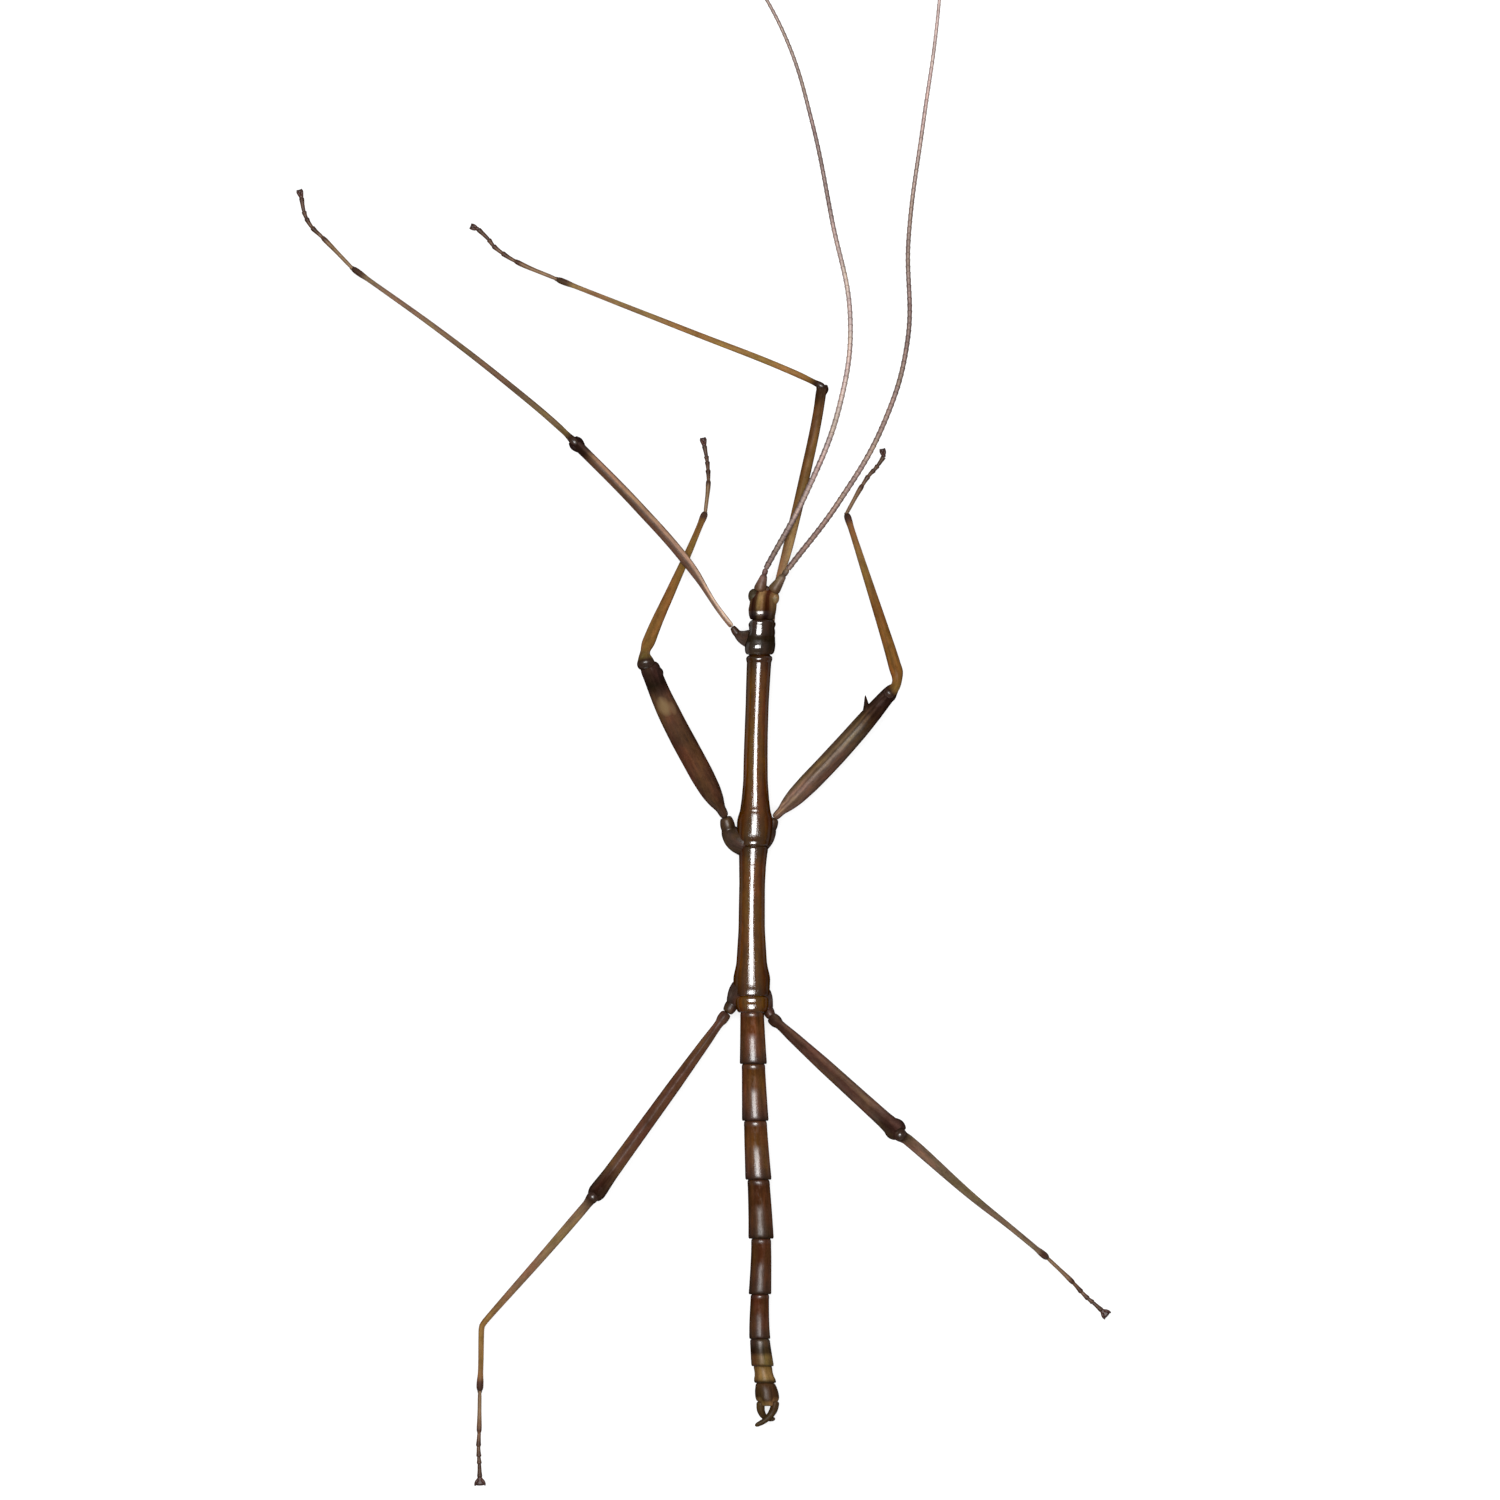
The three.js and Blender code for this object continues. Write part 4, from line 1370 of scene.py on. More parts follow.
right_scape = strand(
    "right_scape", ((1.86, 37.45, 4.7), (2.8, 38.85, 5.0), (3.25, 39.5, 5.1)), SCAPE, 16, 0.86,
)
settle(right_scape, ["antenna_right_scape"], scape_finish)
print("scape faces:", len(left_scape.data.polygons))

# %% [markdown]
# ## Whips
#
# After the first joints comes a whip of about a hundred short ones, each a little
# wider at its far end. One joint is modelled and an Array repeats it. The Curve
# modifier then bends the whole row, and the curve's shrinking radius tapers it to
# the tip. Each whip is made in three lengths that share one curve.

# %% Draw a whip
WHIP_JOINTS = 34
WHIP = (
    (0, 0.42),
    (0.06, 0.52),
    (0.3, 0.51),
    (0.7, 0.55),
    (0.88, 0.59),
    (0.96, 0.56),
    (1, 0.44),
)


def whip(side, points, radii, finish):
    """Three lengths of a feeler along one curve."""
    line, length = bone(points, radii)
    joint = length / 3 / WHIP_JOINTS
    rings = [(share * joint, wide, wide, 0, 0) for share, wide in WHIP]
    made = []
    for third in (1, 2, 3):
        piece = tube(f"{side}_whip_{third}", rings, 10)
        use_modifier(piece, "ARRAY", count=WHIP_JOINTS)
        place(piece, ((third - 1) * length / 3, 0, 0))
        remember(piece, [(0, 0.44, 0.44, 0, 0), (length, 0.44, 0.44, 0, 0)])
        bend(piece, line, keep_line=third < 3)
        settle(piece, [f"antenna_{side}_{third}"], finish)
        made.append(piece)
    return made


print("joints in a whip:", 3 * WHIP_JOINTS)

# %% [markdown]
# ## Finishes of the whips
#
# The whips are a pale grey-brown that grows lighter and darker along them, and their
# sides fall into shade. Only the ramp along differs between left and right.

# %% Mix the finishes of the whips
def whip_finish(side, along):
    return chitin(
        f"{side}_whip_shell",
        along=along,
        across=(
            (0, (50, 42, 42)), (0.26, (104, 96, 96)), (0.46, (144, 142, 142)),
            (0.72, (106, 98, 98)), (1, (48, 40, 40)),
        ),
        gloss=((0, 0.2), (1, 0.2)),
        hues=0.3,
        wander=0.1,
    )


left_whip_finish = whip_finish(
    "left",
    (
        (0, (120, 103, 100)), (0.1, (146, 132, 129)), (0.3, (178, 166, 164)),
        (0.48, (172, 159, 157)), (0.6, (128, 113, 110)), (0.8, (138, 123, 120)),
        (1, (148, 132, 129)),
    ),
)
right_whip_finish = whip_finish(
    "right",
    (
        (0, (122, 104, 98)), (0.2, (146, 130, 125)), (0.4, (122, 106, 102)),
        (0.6, (138, 122, 118)), (0.8, (170, 156, 154)), (1, (178, 164, 162)),
    ),
)
print("whip finishes:", left_whip_finish.name, right_whip_finish.name)

# %% [markdown]
# ## Where the whips run
#
# Both whips rise from the head and sink a little towards their tips. The right one
# drifts outwards, and the left one swings back across the middle. Eight points are
# enough for such a line, with a share of the full width for each.

# %% Model the whips
TAPER = (1, 0.98, 0.92, 0.86, 0.8, 0.72, 0.64, 0.5)
left_whip = whip(
    "left",
    (
        (1.26, 39.56, 5.0),
        (4.86, 46.3, 7.1),
        (7.93, 54.4, 8.9),
        (8.82, 62.0, 9.7),
        (7.2, 70.7, 10.1),
        (5.36, 79.7, 10.3),
        (3.1, 87.0, 10.2),
        (-1.4, 95.2, 9.8),
    ),
    TAPER,
    left_whip_finish,
)
whip(
    "right",
    (
        (3.25, 39.5, 5.1),
        (7.8, 45.5, 6.6),
        (11.9, 52.7, 8.2),
        (13.97, 60.0, 9.3),
        (14.05, 69.0, 9.9),
        (15.4, 79.7, 10.1),
        (16.45, 87.0, 10.0),
        (17.2, 94.8, 9.7),
    ),
    TAPER,
    right_whip_finish,
)
print("faces in a third of a whip:", [len(piece.data.polygons) for piece in left_whip])

# %% [markdown]
# ## Where the legs run
#
# Each leg has five parts in a row: hip (coxa), thigh (femur), shin (tibia), a foot
# of five small joints (tarsus), and a pad with two claws. The points below are the
# ends and bends of each part on the drawing, from the body outwards.

# %% Write down the legs
LEGS = {
    "fore_left": {
        "coxa": ((0.2, 33.1, 3.8), (-1.15, 33.55, 3.35), (-1.8, 34.3, 3.4)),
        "femur": (
            (-1.8, 34.3, 3.4), (-3.1, 35.99, 3.65), (-5.45, 39.59, 4.6), (-10.34, 45.21, 6.33),
            (-15.85, 50.8, 8),
        ),
        "tibia": (
            (-15.85, 50.8, 8), (-17.46, 52.36, 7.3), (-21.43, 55.72, 5.8), (-27.56, 60.53, 3.7),
            (-36, 66.6, 0.9),
        ),
        "tarsus": (
            (-36, 66.6, 0.9), (-38.67, 69.36, 0.5), (-39.59, 70.25, 0.34), (-40.1, 71.07, 0.34),
            (-40.32, 71.67, 0.34), (-40.55, 72.95, 0.34),
        ),
        "heading": 106,
    },
    "fore_right": {
        "coxa": ((0.8, 32.2, 3.4), (1.56, 33.2, 3.06), (1.76, 34.3, 3)),
        "femur": (
            (1.76, 34.3, 3), (2, 36.95, 3.14), (3.06, 40.79, 4.22), (4.85, 48.3, 6.19),
            (5.88, 53.2, 7.3), (6.28, 55.9, 7.9),
        ),
        "tibia": (
            (6.28, 55.9, 7.9), (3.9, 57.05, 7.2), (-5.65, 60.87, 4.4), (-12.8, 63.7, 2.3),
            (-17.6, 65.6, 0.9),
        ),
        "tarsus": (
            (-17.6, 65.6, 0.9), (-21.34, 67.23, 0.5), (-22.49, 67.95, 0.34),
            (-23.28, 68.6, 0.34), (-23.69, 69.14, 0.34), (-24.66, 70.1, 0.34),
        ),
        "heading": 158,
    },
    "mid_left": {
        "coxa": ((-0.3, 14.7, 3.3), (-1.8, 15.6, 3.05), (-2.4, 17.2, 3.3)),
        "femur": (
            (-2.4, 17.2, 3.3), (-4.67, 21.27, 5.13), (-7.89, 27.45, 7.88), (-9.36, 31.05, 9.4),
        ),
        "tibia": (
            (-9.45, 31, 9.4), (-9.6, 31.88, 8.98), (-9.14, 33.27, 8.13), (-7.09, 37.94, 5.15),
            (-5.6, 41.25, 3.03), (-4.2, 44.6, 0.9),
        ),
        "tarsus": (
            (-4.2, 44.6, 0.9), (-3.92, 47.49, 0.5), (-3.96, 48.46, 0.34), (-4.03, 49.18, 0.34),
            (-4.11, 49.66, 0.34), (-4.29, 50.61, 0.34),
        ),
        "heading": 101,
    },
    "mid_right": {
        "coxa": ((0.3, 14.7, 3.1), (1.4, 15.8, 2.9), (2, 17.1, 3.1)),
        "femur": ((2, 17.1, 3.1), (7.62, 22.89, 4.7), (12.92, 28.98, 6.3)),
        "tibia": (
            (12.25, 28.4, 6.4), (12.87, 28.98, 6.3), (13.05, 29.8, 6.05), (12.8, 30.9, 5.65),
            (8.5, 44.5, 0.9),
        ),
        "tarsus": (
            (8.5, 44.5, 0.9), (10, 47.15, 0.5), (10.58, 47.99, 0.34), (11.1, 48.54, 0.34),
            (11.42, 48.96, 0.34), (11.86, 49.62, 0.34),
        ),
        "heading": 101,
    },
    "hind_left": {
        "coxa": ((-0.7, 1.9, 3.1), (-1.55, 0.7, 2.75), (-2.25, -0.4, 2.85)),
        "femur": ((-2.25, -0.4, 2.85), (-14.15, -16.82, 5.85)),
        "tibia": (
            (-14.15, -16.82, 5.85), (-16.06, -19.07, 5.05), (-18.9, -22.36, 4.04),
            (-23.72, -27.83, 2.37), (-24.14, -28.34, 2.2), (-24.29, -28.6, 2.12),
            (-24.34, -28.95, 2.04), (-24.36, -29.6, 1.9), (-24.4, -32.1, 1.39),
            (-24.5, -34.5, 0.9),
        ),
        "tarsus": (
            (-24.5, -34.5, 0.9), (-24.56, -38.22, 0.5), (-24.61, -39.46, 0.34),
            (-24.58, -40.39, 0.34), (-24.54, -41.01, 0.34), (-24.5, -42.25, 0.34),
        ),
        "heading": -88,
    },
    "hind_right": {
        "coxa": ((0.7, 1.4, 3), (1.2, 0.3, 2.65), (1.77, -0.84, 3)),
        "femur": ((1.77, -0.84, 3), (13.2, -11.15, 14.76)),
        "tibia": (
            (13.2, -11.15, 14.76), (14.12, -11.88, 13.9), (19.82, -16.94, 7.9),
            (23.24, -19.7, 4.4), (26.6, -22.5, 0.9),
        ),
        "tarsus": (
            (26.6, -22.5, 0.9), (28.95, -24.77, 0.5), (29.68, -25.58, 0.34),
            (30.25, -26.15, 0.34), (30.68, -26.5, 0.34), (31.48, -27.22, 0.34),
        ),
        "heading": -42,
    },
}
print("legs:", ", ".join(LEGS))

# %% [markdown]
# ## Hips
#
# The hip is a short cone that grows from the side of the thorax. A groove near its
# far end marks off the trochanter, a small joint that is grown onto the thigh.

# %% Model the hips
hip_finish = chitin(
    "hip_shell",
    along=(
        (0, (48, 36, 32)), (0.5, (56, 44, 38)), (0.7, (44, 32, 26)), (0.85, (56, 42, 36)),
        (1, (64, 50, 42)),
    ),
    across=(
        (0, (110, 100, 100)), (0.3, (150, 146, 150)), (0.5, (134, 124, 118)), (1, (96, 88, 84)),
    ),
    gloss=((0, 0.25), (0.6, 0.3), (1, 0.2)),
    depth=0.84,
    warmth=1.15,
)
HIP = (
    (0, 1.1),
    (0.1, 1.2),
    (0.3, 1.14),
    (0.45, 1.0),
    (0.58, 0.82),
    (0.64, 0.74),
    (0.67, 0.66),
    (0.7, 0.62),
    (0.73, 0.64),
    (0.8, 0.64),
    (0.9, 0.58),
    (0.96, 0.52),
    (1, 0.4),
)
HIP_KEELS = ((40, 1.1), (120, 1.08), (200, 1.1), (300, 1.06))
for leg, near, far in (
    ("fore_left", 1.56, 1.0),
    ("fore_right", 1.4, 1.2),
    ("mid_left", 2.15, 2.1),
    ("mid_right", 1.86, 1.8),
    ("hind_left", 1.9, 1.86),
    ("hind_right", 1.66, 1.6),
):
    widths = [(share, size * (near + (far - near) * share)) for share, size in HIP]
    hip = strand(f"hip_{leg}", LEGS[leg]["coxa"], widths, 18, 0.95, HIP_KEELS)
    settle(hip, [f"coxa_{leg}"], hip_finish)
print("the last hip has", len(hip.data.polygons), "faces")

# %% [markdown]
# ## Thighs
#
# A thigh isn't round. Low keels run along it, so it catches the light in strips. The
# fore thighs are thin and bowed in at the base to make room for the head. The middle
# ones are swollen in a male and carry a spine, and the hind ones widen steadily. At
# the knee each ends in two rounded lobes with the shin between them.

# %% Draw a thigh
LOBE = ((0, 0.3), (0.2, 0.75), (0.48, 1), (0.64, 1), (0.82, 0.7), (0.95, 0.35))
THORN = ((0, 0.95), (0.15, 0.8), (0.4, 0.52), (0.8, 0.26), (1, 0.06))
THIGH_GAP = 0.8
LOBE_DROP = -0.05
THORN_ROOT = 0.55


def thigh(leg, profile, keels, lobes, knee, spine=None, scale=1.0):
    """profile is (share, width, height), and knee is how high the knee's lobes are.

    A lobe is (how far past the knee, sideways, width, length). The spine is (share of
    the length, degrees it is turned round the thigh, degrees it leans, length).
    """
    line, length = bone(LEGS[leg]["femur"])
    rings = [(share * length, wide * scale, high * scale, 0, 0) for share, wide, high in profile]
    piece = tube(f"thigh_{leg}", rings, 24, keels, gap=THIGH_GAP)
    smooth(piece)
    others = []
    for end, sideways, wide, long in lobes:
        rows = []
        for share, size in LOBE:
            x = length + end - long + share * long
            drawn_in = sideways * (0.7 + 0.3 * min(1, 2 * share))
            rows.append((x, wide * size, knee * size, drawn_in, LOBE_DROP))
        ear = tube("ear", rows, 12)
        smooth(ear)
        others.append(ear)
    if spine:
        share, turn, tilt, long = spine
        rows = [(step * long, thick, thick, 0, 0) for step, thick in THORN]
        thorn = tube("thorn", rows, 8)
        smooth(thorn)
        place(thorn, (0, 0, THORN_ROOT * scale), turn=(0, -tilt, 0))
        place(thorn, (share * length, 0, 0), turn=(turn, 0, 0))
        others.append(thorn)
    join(piece, *others)
    remember(piece, filled(rings, THIGH_GAP))
    bend(piece, line)
    return piece


print("a thigh has a ring at least every", THIGH_GAP, "mm")

# %% [markdown]
# ## Fore thighs
#
# The fore thighs are the thinnest. The left one has a painted highlight along its
# inner side, which is a pair of light stops in the ramp across it, and its other half
# is darkened with painted shade. Both darken at the knee.

# %% Model the fore thighs
FORE_THIGH = (
    (0, 0.4, 0.4),
    (0.01, 0.52, 0.5),
    (0.04, 0.52, 0.5),
    (0.14, 0.5, 0.5),
    (0.2, 0.6, 0.58),
    (0.27, 0.82, 0.72),
    (0.34, 0.92, 0.82),
    (0.6, 0.95, 0.84),
    (0.88, 0.93, 0.84),
    (0.94, 0.94, 0.86),
    (0.975, 0.98, 0.9),
    (0.99, 0.9, 0.84),
    (1, 0.6, 0.6),
)
FORE_KEELS = ((36, 1.12), (144, 1.12), (270, 1.1))
FORE_LEFT_LOBES = ((0.5, 0.36, 0.66, 1.5), (0.5, -0.36, 0.66, 1.5))
FORE_RIGHT_LOBES = ((0.35, 0.26, 0.5, 1.2), (0.25, -0.36, 0.6, 1.2))
# Painted highlight and shade: the light stops across stand for a flat keel catching the lamp,
# and the dark stops for its shaded side.
left_fore_finish = chitin(
    "left_fore_thigh_shell",
    along=(
        (0, (152, 132, 116)), (0.06, (166, 146, 130)), (0.14, (158, 138, 122)),
        (0.22, (132, 110, 96)), (0.5, (118, 94, 78)), (0.9, (110, 84, 68)),
        (0.945, (52, 38, 34)), (1, (46, 33, 31)),
    ),
    across=(
        (0, (56, 48, 46)), (0.12, (54, 44, 40)), (0.42, (48, 40, 34)), (0.54, (74, 68, 62)),
        (0.64, (196, 196, 194)), (0.84, (204, 206, 208)), (0.92, (90, 84, 82)),
        (1, (66, 58, 58)),
    ),
    gloss=((0, 0.41), (0.85, 0.35), (0.93, 0), (1, 0)),
    hues=0.45,
    wander=0.16,
)
right_fore_finish = chitin(
    "right_fore_thigh_shell",
    along=(
        (0, (140, 118, 102)), (0.2, (138, 114, 94)), (0.45, (120, 98, 68)), (0.6, (98, 74, 44)),
        (0.9, (88, 62, 40)), (0.96, (56, 42, 32)), (1, (48, 36, 30)),
    ),
    across=(
        (0, (70, 58, 48)), (0.12, (80, 64, 48)), (0.36, (96, 80, 58)), (0.5, (108, 98, 74)),
        (0.6, (122, 116, 94)), (0.86, (140, 134, 112)), (0.92, (84, 72, 60)), (1, (68, 58, 52)),
    ),
    gloss=((0, 0.2), (0.85, 0.15), (0.93, 0), (1, 0)),
    hues=0.4,
    wander=0.16,
)
left_fore = thigh("fore_left", FORE_THIGH, FORE_KEELS, FORE_LEFT_LOBES, 0.9)
settle(left_fore, ["femur_fore_left"], left_fore_finish)
right_fore = thigh("fore_right", FORE_THIGH, FORE_KEELS, FORE_RIGHT_LOBES, 0.85)
settle(right_fore, ["femur_fore_right"], right_fore_finish)
print("fore thigh faces:", len(left_fore.data.polygons))

# %% [markdown]
# ## Middle thighs
#
# The middle thighs are the thickest, and a strong spine stands before each knee. The
# right one is a little slimmer and tapers sooner, so the end of its profile is drawn
# anew. On the left one, two pale marks lie before the dark knee.

# %% Model the middle thighs
MID_THIGH = (
    (0, 0.5, 0.5),
    (0.01, 0.78, 0.76),
    (0.04, 0.88, 0.86),
    (0.055, 0.84, 0.8),
    (0.1, 1.4, 1.25),
    (0.17, 1.85, 1.6),
    (0.28, 2.08, 1.8),
    (0.5, 2.1, 1.84),
    (0.7, 2.0, 1.76),
    (0.83, 1.82, 1.6),
    (0.92, 1.74, 1.56),
    (0.965, 1.8, 1.56),
    (0.985, 1.6, 1.4),
    (1, 0.9, 0.8),
)
RIGHT_MID_THIGH = MID_THIGH[:9] + (
    (0.82, 1.82, 1.6),
    (0.88, 1.66, 1.5),
    (0.93, 1.54, 1.4),
    (0.97, 1.36, 1.3),
    (1, 0.9, 0.9),
)
MID_LEFT_LOBES = ((0.1, 0.4, 0.8, 1.8), (-0.62, -0.6, 0.9, 1.5))
MID_RIGHT_LOBES = ((0.1, 0.24, 0.66, 1.8), (-0.3, -0.4, 0.72, 1.8))
MID_KEELS = ((18, 1.06), (72, 1.05), (126, 1.05), (180, 1.06), (270, 1.05))
mid_finish = chitin(
    "left_mid_thigh_shell",
    along=(
        (0, (56, 40, 34)), (0.1, (56, 38, 26)), (0.3, (70, 46, 32)), (0.42, (72, 47, 30)),
        (0.52, (56, 37, 25)), (0.66, (68, 47, 33)), (0.74, (78, 56, 38)), (0.8, (66, 46, 34)),
        (0.84, (42, 29, 24)), (0.88, (28, 21, 17)), (0.93, (42, 30, 28)), (1, (46, 34, 32)),
    ),
    across=(
        (0, (100, 90, 84)), (0.2, (128, 116, 104)), (0.4, (138, 124, 108)),
        (0.6, (130, 114, 100)), (0.8, (136, 126, 118)), (1, (92, 84, 80)),
    ),
    gloss=((0, 0.2), (0.8, 0.25), (0.86, 0), (1, 0)),
    blotches=0.8,
    marks=((0.75, 0.15, 0.07, 0.66, (112, 90, 60)), (0.72, -0.5, 0.05, 0.34, (100, 75, 52))),
)
# Painted highlights: the pale stops across the right middle thigh stand for glints along its
# keels.
mid_right_finish = chitin(
    "right_mid_thigh_shell",
    along=(
        (0, (92, 74, 64)), (0.1, (104, 86, 78)), (0.2, (98, 80, 70)), (0.35, (84, 66, 54)),
        (0.62, (76, 62, 48)), (0.74, (62, 48, 34)), (0.8, (48, 34, 28)), (0.88, (42, 30, 27)),
        (1, (44, 32, 31)),
    ),
    across=(
        (0, (80, 72, 68)), (0.14, (110, 106, 90)), (0.26, (220, 212, 206)),
        (0.36, (90, 78, 70)), (0.5, (200, 192, 186)), (0.6, (84, 70, 62)), (0.8, (100, 78, 68)),
        (1, (64, 54, 52)),
    ),
    gloss=((0, 0.4), (0.68, 0.4), (0.76, 0), (1, 0)),
    blotches=0.8,
)
left_mid = thigh("mid_left", MID_THIGH, MID_KEELS, MID_LEFT_LOBES, 1.3, (0.82, 160, 55, 1.2))
settle(left_mid, ["femur_mid_left"], mid_finish)
right_mid = thigh(
    "mid_right", RIGHT_MID_THIGH, MID_KEELS, MID_RIGHT_LOBES, 1.1, (0.79, -72, 46, 1.6), 0.88,
)
settle(right_mid, ["femur_mid_right"], mid_right_finish)
print("middle thigh faces:", len(left_mid.data.polygons))

# %% [markdown]
# ## Hind thighs
#
# The hind thighs are nearly straight and widen steadily to a broad knee. The right
# one rises high above the body, so it is the stouter of the two.

# %% Model the hind thighs
HIND_THIGH = (
    (0, 0.7, 0.7),
    (0.008, 0.98, 0.96),
    (0.03, 1.04, 1.0),
    (0.045, 0.96, 0.94),
    (0.055, 0.76, 0.76),
    (0.08, 0.76, 0.76),
    (0.16, 0.92, 0.86),
    (0.4, 1.16, 1.04),
    (0.7, 1.26, 1.12),
    (0.88, 1.34, 1.2),
    (0.94, 1.48, 1.3),
    (0.97, 1.58, 1.36),
    (0.985, 1.46, 1.26),
    (1, 0.9, 0.8),
)
HIND_LEFT_LOBES = ((0.35, 0.46, 0.74, 1.9), (0.35, -0.46, 0.74, 1.9))
HIND_RIGHT_LOBES = ((0.2, 0.62, 0.86, 2.1), (0.2, -0.56, 0.86, 2.1))
HIND_KEELS = ((36, 1.1), (90, 1.05), (144, 1.1), (270, 1.08))
hind_left_finish = chitin(
    "left_hind_thigh_shell",
    along=(
        (0, (62, 46, 40)), (0.08, (76, 56, 46)), (0.2, (84, 58, 46)), (0.4, (80, 54, 40)),
        (0.6, (76, 52, 40)), (0.84, (84, 60, 46)), (0.9, (62, 46, 37)), (0.95, (50, 36, 30)),
        (1, (44, 32, 27)),
    ),
    across=(
        (0, (84, 78, 74)), (0.14, (118, 112, 104)), (0.36, (98, 84, 74)), (0.5, (80, 62, 50)),
        (0.64, (88, 70, 58)), (0.86, (126, 114, 104)), (1, (84, 78, 74)),
    ),
    gloss=((0, 0.15), (0.85, 0.15), (0.92, 0), (1, 0)),
    wander=0.16,
)
# Painted highlight: the pale stops near the left side of the ramp across stand for a keel
# catching the lamp.
hind_right_finish = chitin(
    "right_hind_thigh_shell",
    along=(
        (0, (56, 42, 34)), (0.08, (64, 46, 37)), (0.2, (72, 50, 41)), (0.4, (80, 58, 48)),
        (0.6, (78, 58, 50)), (0.78, (84, 66, 54)), (0.86, (70, 56, 49)), (0.92, (58, 46, 41)),
        (1, (54, 42, 39)),
    ),
    across=(
        (0, (76, 68, 66)), (0.1, (120, 112, 108)), (0.22, (168, 164, 158)),
        (0.38, (126, 112, 104)), (0.5, (76, 58, 50)), (0.7, (78, 62, 52)), (0.86, (96, 82, 74)),
        (1, (76, 66, 62)),
    ),
    gloss=((0, 0.2), (0.85, 0.2), (0.92, 0), (1, 0)),
    wander=0.12,
)
left_hind = thigh("hind_left", HIND_THIGH, HIND_KEELS, HIND_LEFT_LOBES, 1.2, scale=1.04)
settle(left_hind, ["femur_hind_left"], hind_left_finish)
right_hind = thigh("hind_right", HIND_THIGH, HIND_KEELS, HIND_RIGHT_LOBES, 1.2, scale=1.14)
settle(right_hind, ["femur_hind_right"], hind_right_finish)
print("hind thigh faces:", len(left_hind.data.polygons))

# %% [markdown]
# ## Shins
#
# A shin starts with a dark knob that turns between the lobes of the thigh. Behind it
# comes a narrow neck, then a long slender shaft with four weak keels. Just before the
# foot it widens a little and ends in short dark spurs.

# %% Draw a shin
SHIN_KEELS = ((36, 1.07), (144, 1.07), (216, 1.07), (324, 1.07))
SHIN_GAP = 0.7
KNOB = ((-0.34, 0.3), (-0.22, 0.7), (0.05, 1), (0.35, 0.96), (0.7, 0.8))
KNOB_LIFT = 0.08
SHAFT_HEIGHT = 0.92
SPUR = ((0, 0.1), (0.15, 0.15), (0.32, 0.12), (0.48, 0.03))
SPUR_START = 0.3
SPUR_ASIDE = 0.34
SPUR_DROP = 0.3


def shin(leg, profile, knob, finish, aside, back):
    """profile is (share, width); the knob, as wide as its number, sits a bit aside or back."""
    line, length = bone(LEGS[leg]["tibia"])
    rise = KNOB_LIFT * knob
    rings = [(x - back, wide * knob, wide * knob, aside, rise) for x, wide in KNOB]
    rings += [(share * length, wide, SHAFT_HEIGHT * wide, 0, 0) for share, wide in profile]
    piece = tube(f"shin_{leg}", rings, 20, SHIN_KEELS, gap=SHIN_GAP)
    smooth(piece)
    end = profile[-1][1]
    spurs = []
    for side in (-1, 1):
        rows = []
        for step, wide in SPUR:
            x = length - SPUR_START + step
            rows.append((x, wide, wide, side * end * SPUR_ASIDE, -end * SPUR_DROP))
        spurs.append(tube("spur", rows, 6))
    join(piece, *spurs)
    remember(piece, filled(rings, SHIN_GAP))
    bend(piece, line)
    settle(piece, [f"tibia_{leg}"], finish)
    return piece


print("a shin has a ring at least every", SHIN_GAP, "mm")

# %% [markdown]
# ## Finishes of the shins
#
# All six shins share one plan: a dark glossy knob, a paler neck, the shaft and its
# lower part, and a dark ankle. Only three of these colours differ from leg to leg.

# %% Mix the finish of a shin
def shin_finish(name, shaft, low, knee):
    """Dark knob, then the colours of the neck, the shaft and its lower part, dark ankle."""
    return chitin(
        name,
        along=(
            (0, (48, 35, 32)), (0.035, (48, 36, 30)), (0.06, knee), (0.12, shaft), (0.5, shaft),
            (0.7, low), (0.935, low), (0.96, (66, 47, 40)), (1, (52, 39, 35)),
        ),
        across=(
            (0, (104, 92, 84)), (0.16, (118, 108, 96)), (0.4, (112, 104, 90)),
            (0.66, (120, 112, 98)), (0.86, (120, 108, 98)), (1, (100, 88, 82)),
        ),
        gloss=((0, 0.6), (0.02, 0.55), (0.03, 0), (0.1, 0.1), (1, 0.1)),
        wander=0.16,
    )


print("legs that need a shin:", len(LEGS))

# %% [markdown]
# ## The six shins
#
# Fore, middle and hind shins each have a profile. The right hind one is the hind
# profile made stouter, most of all near the knee. A table then says for each leg how
# wide its knob is, its three colours, and how far the knob sits aside and back.

# %% Model the shins
FORE_SHIN = (
    (0.045, 0.52),
    (0.08, 0.58),
    (0.3, 0.56),
    (0.6, 0.5),
    (0.9, 0.42),
    (0.94, 0.44),
    (0.955, 0.56),
    (0.985, 0.6),
    (1, 0.44),
)
MID_SHIN = (
    (0.06, 0.86),
    (0.085, 0.9),
    (0.12, 1.2),
    (0.16, 1.17),
    (0.35, 0.98),
    (0.6, 0.77),
    (0.85, 0.58),
    (0.93, 0.56),
    (0.955, 0.66),
    (0.985, 0.68),
    (1, 0.46),
)
HIND_SHIN = (
    (0.045, 0.84),
    (0.06, 0.84),
    (0.12, 0.86),
    (0.2, 0.84),
    (0.4, 0.74),
    (0.65, 0.58),
    (0.75, 0.52),
    (0.93, 0.48),
    (0.95, 0.62),
    (0.985, 0.66),
    (1, 0.46),
)
STOUT_SHIN = [(share, wide * max(1.0, 1.24 - 0.36 * share)) for share, wide in HIND_SHIN]
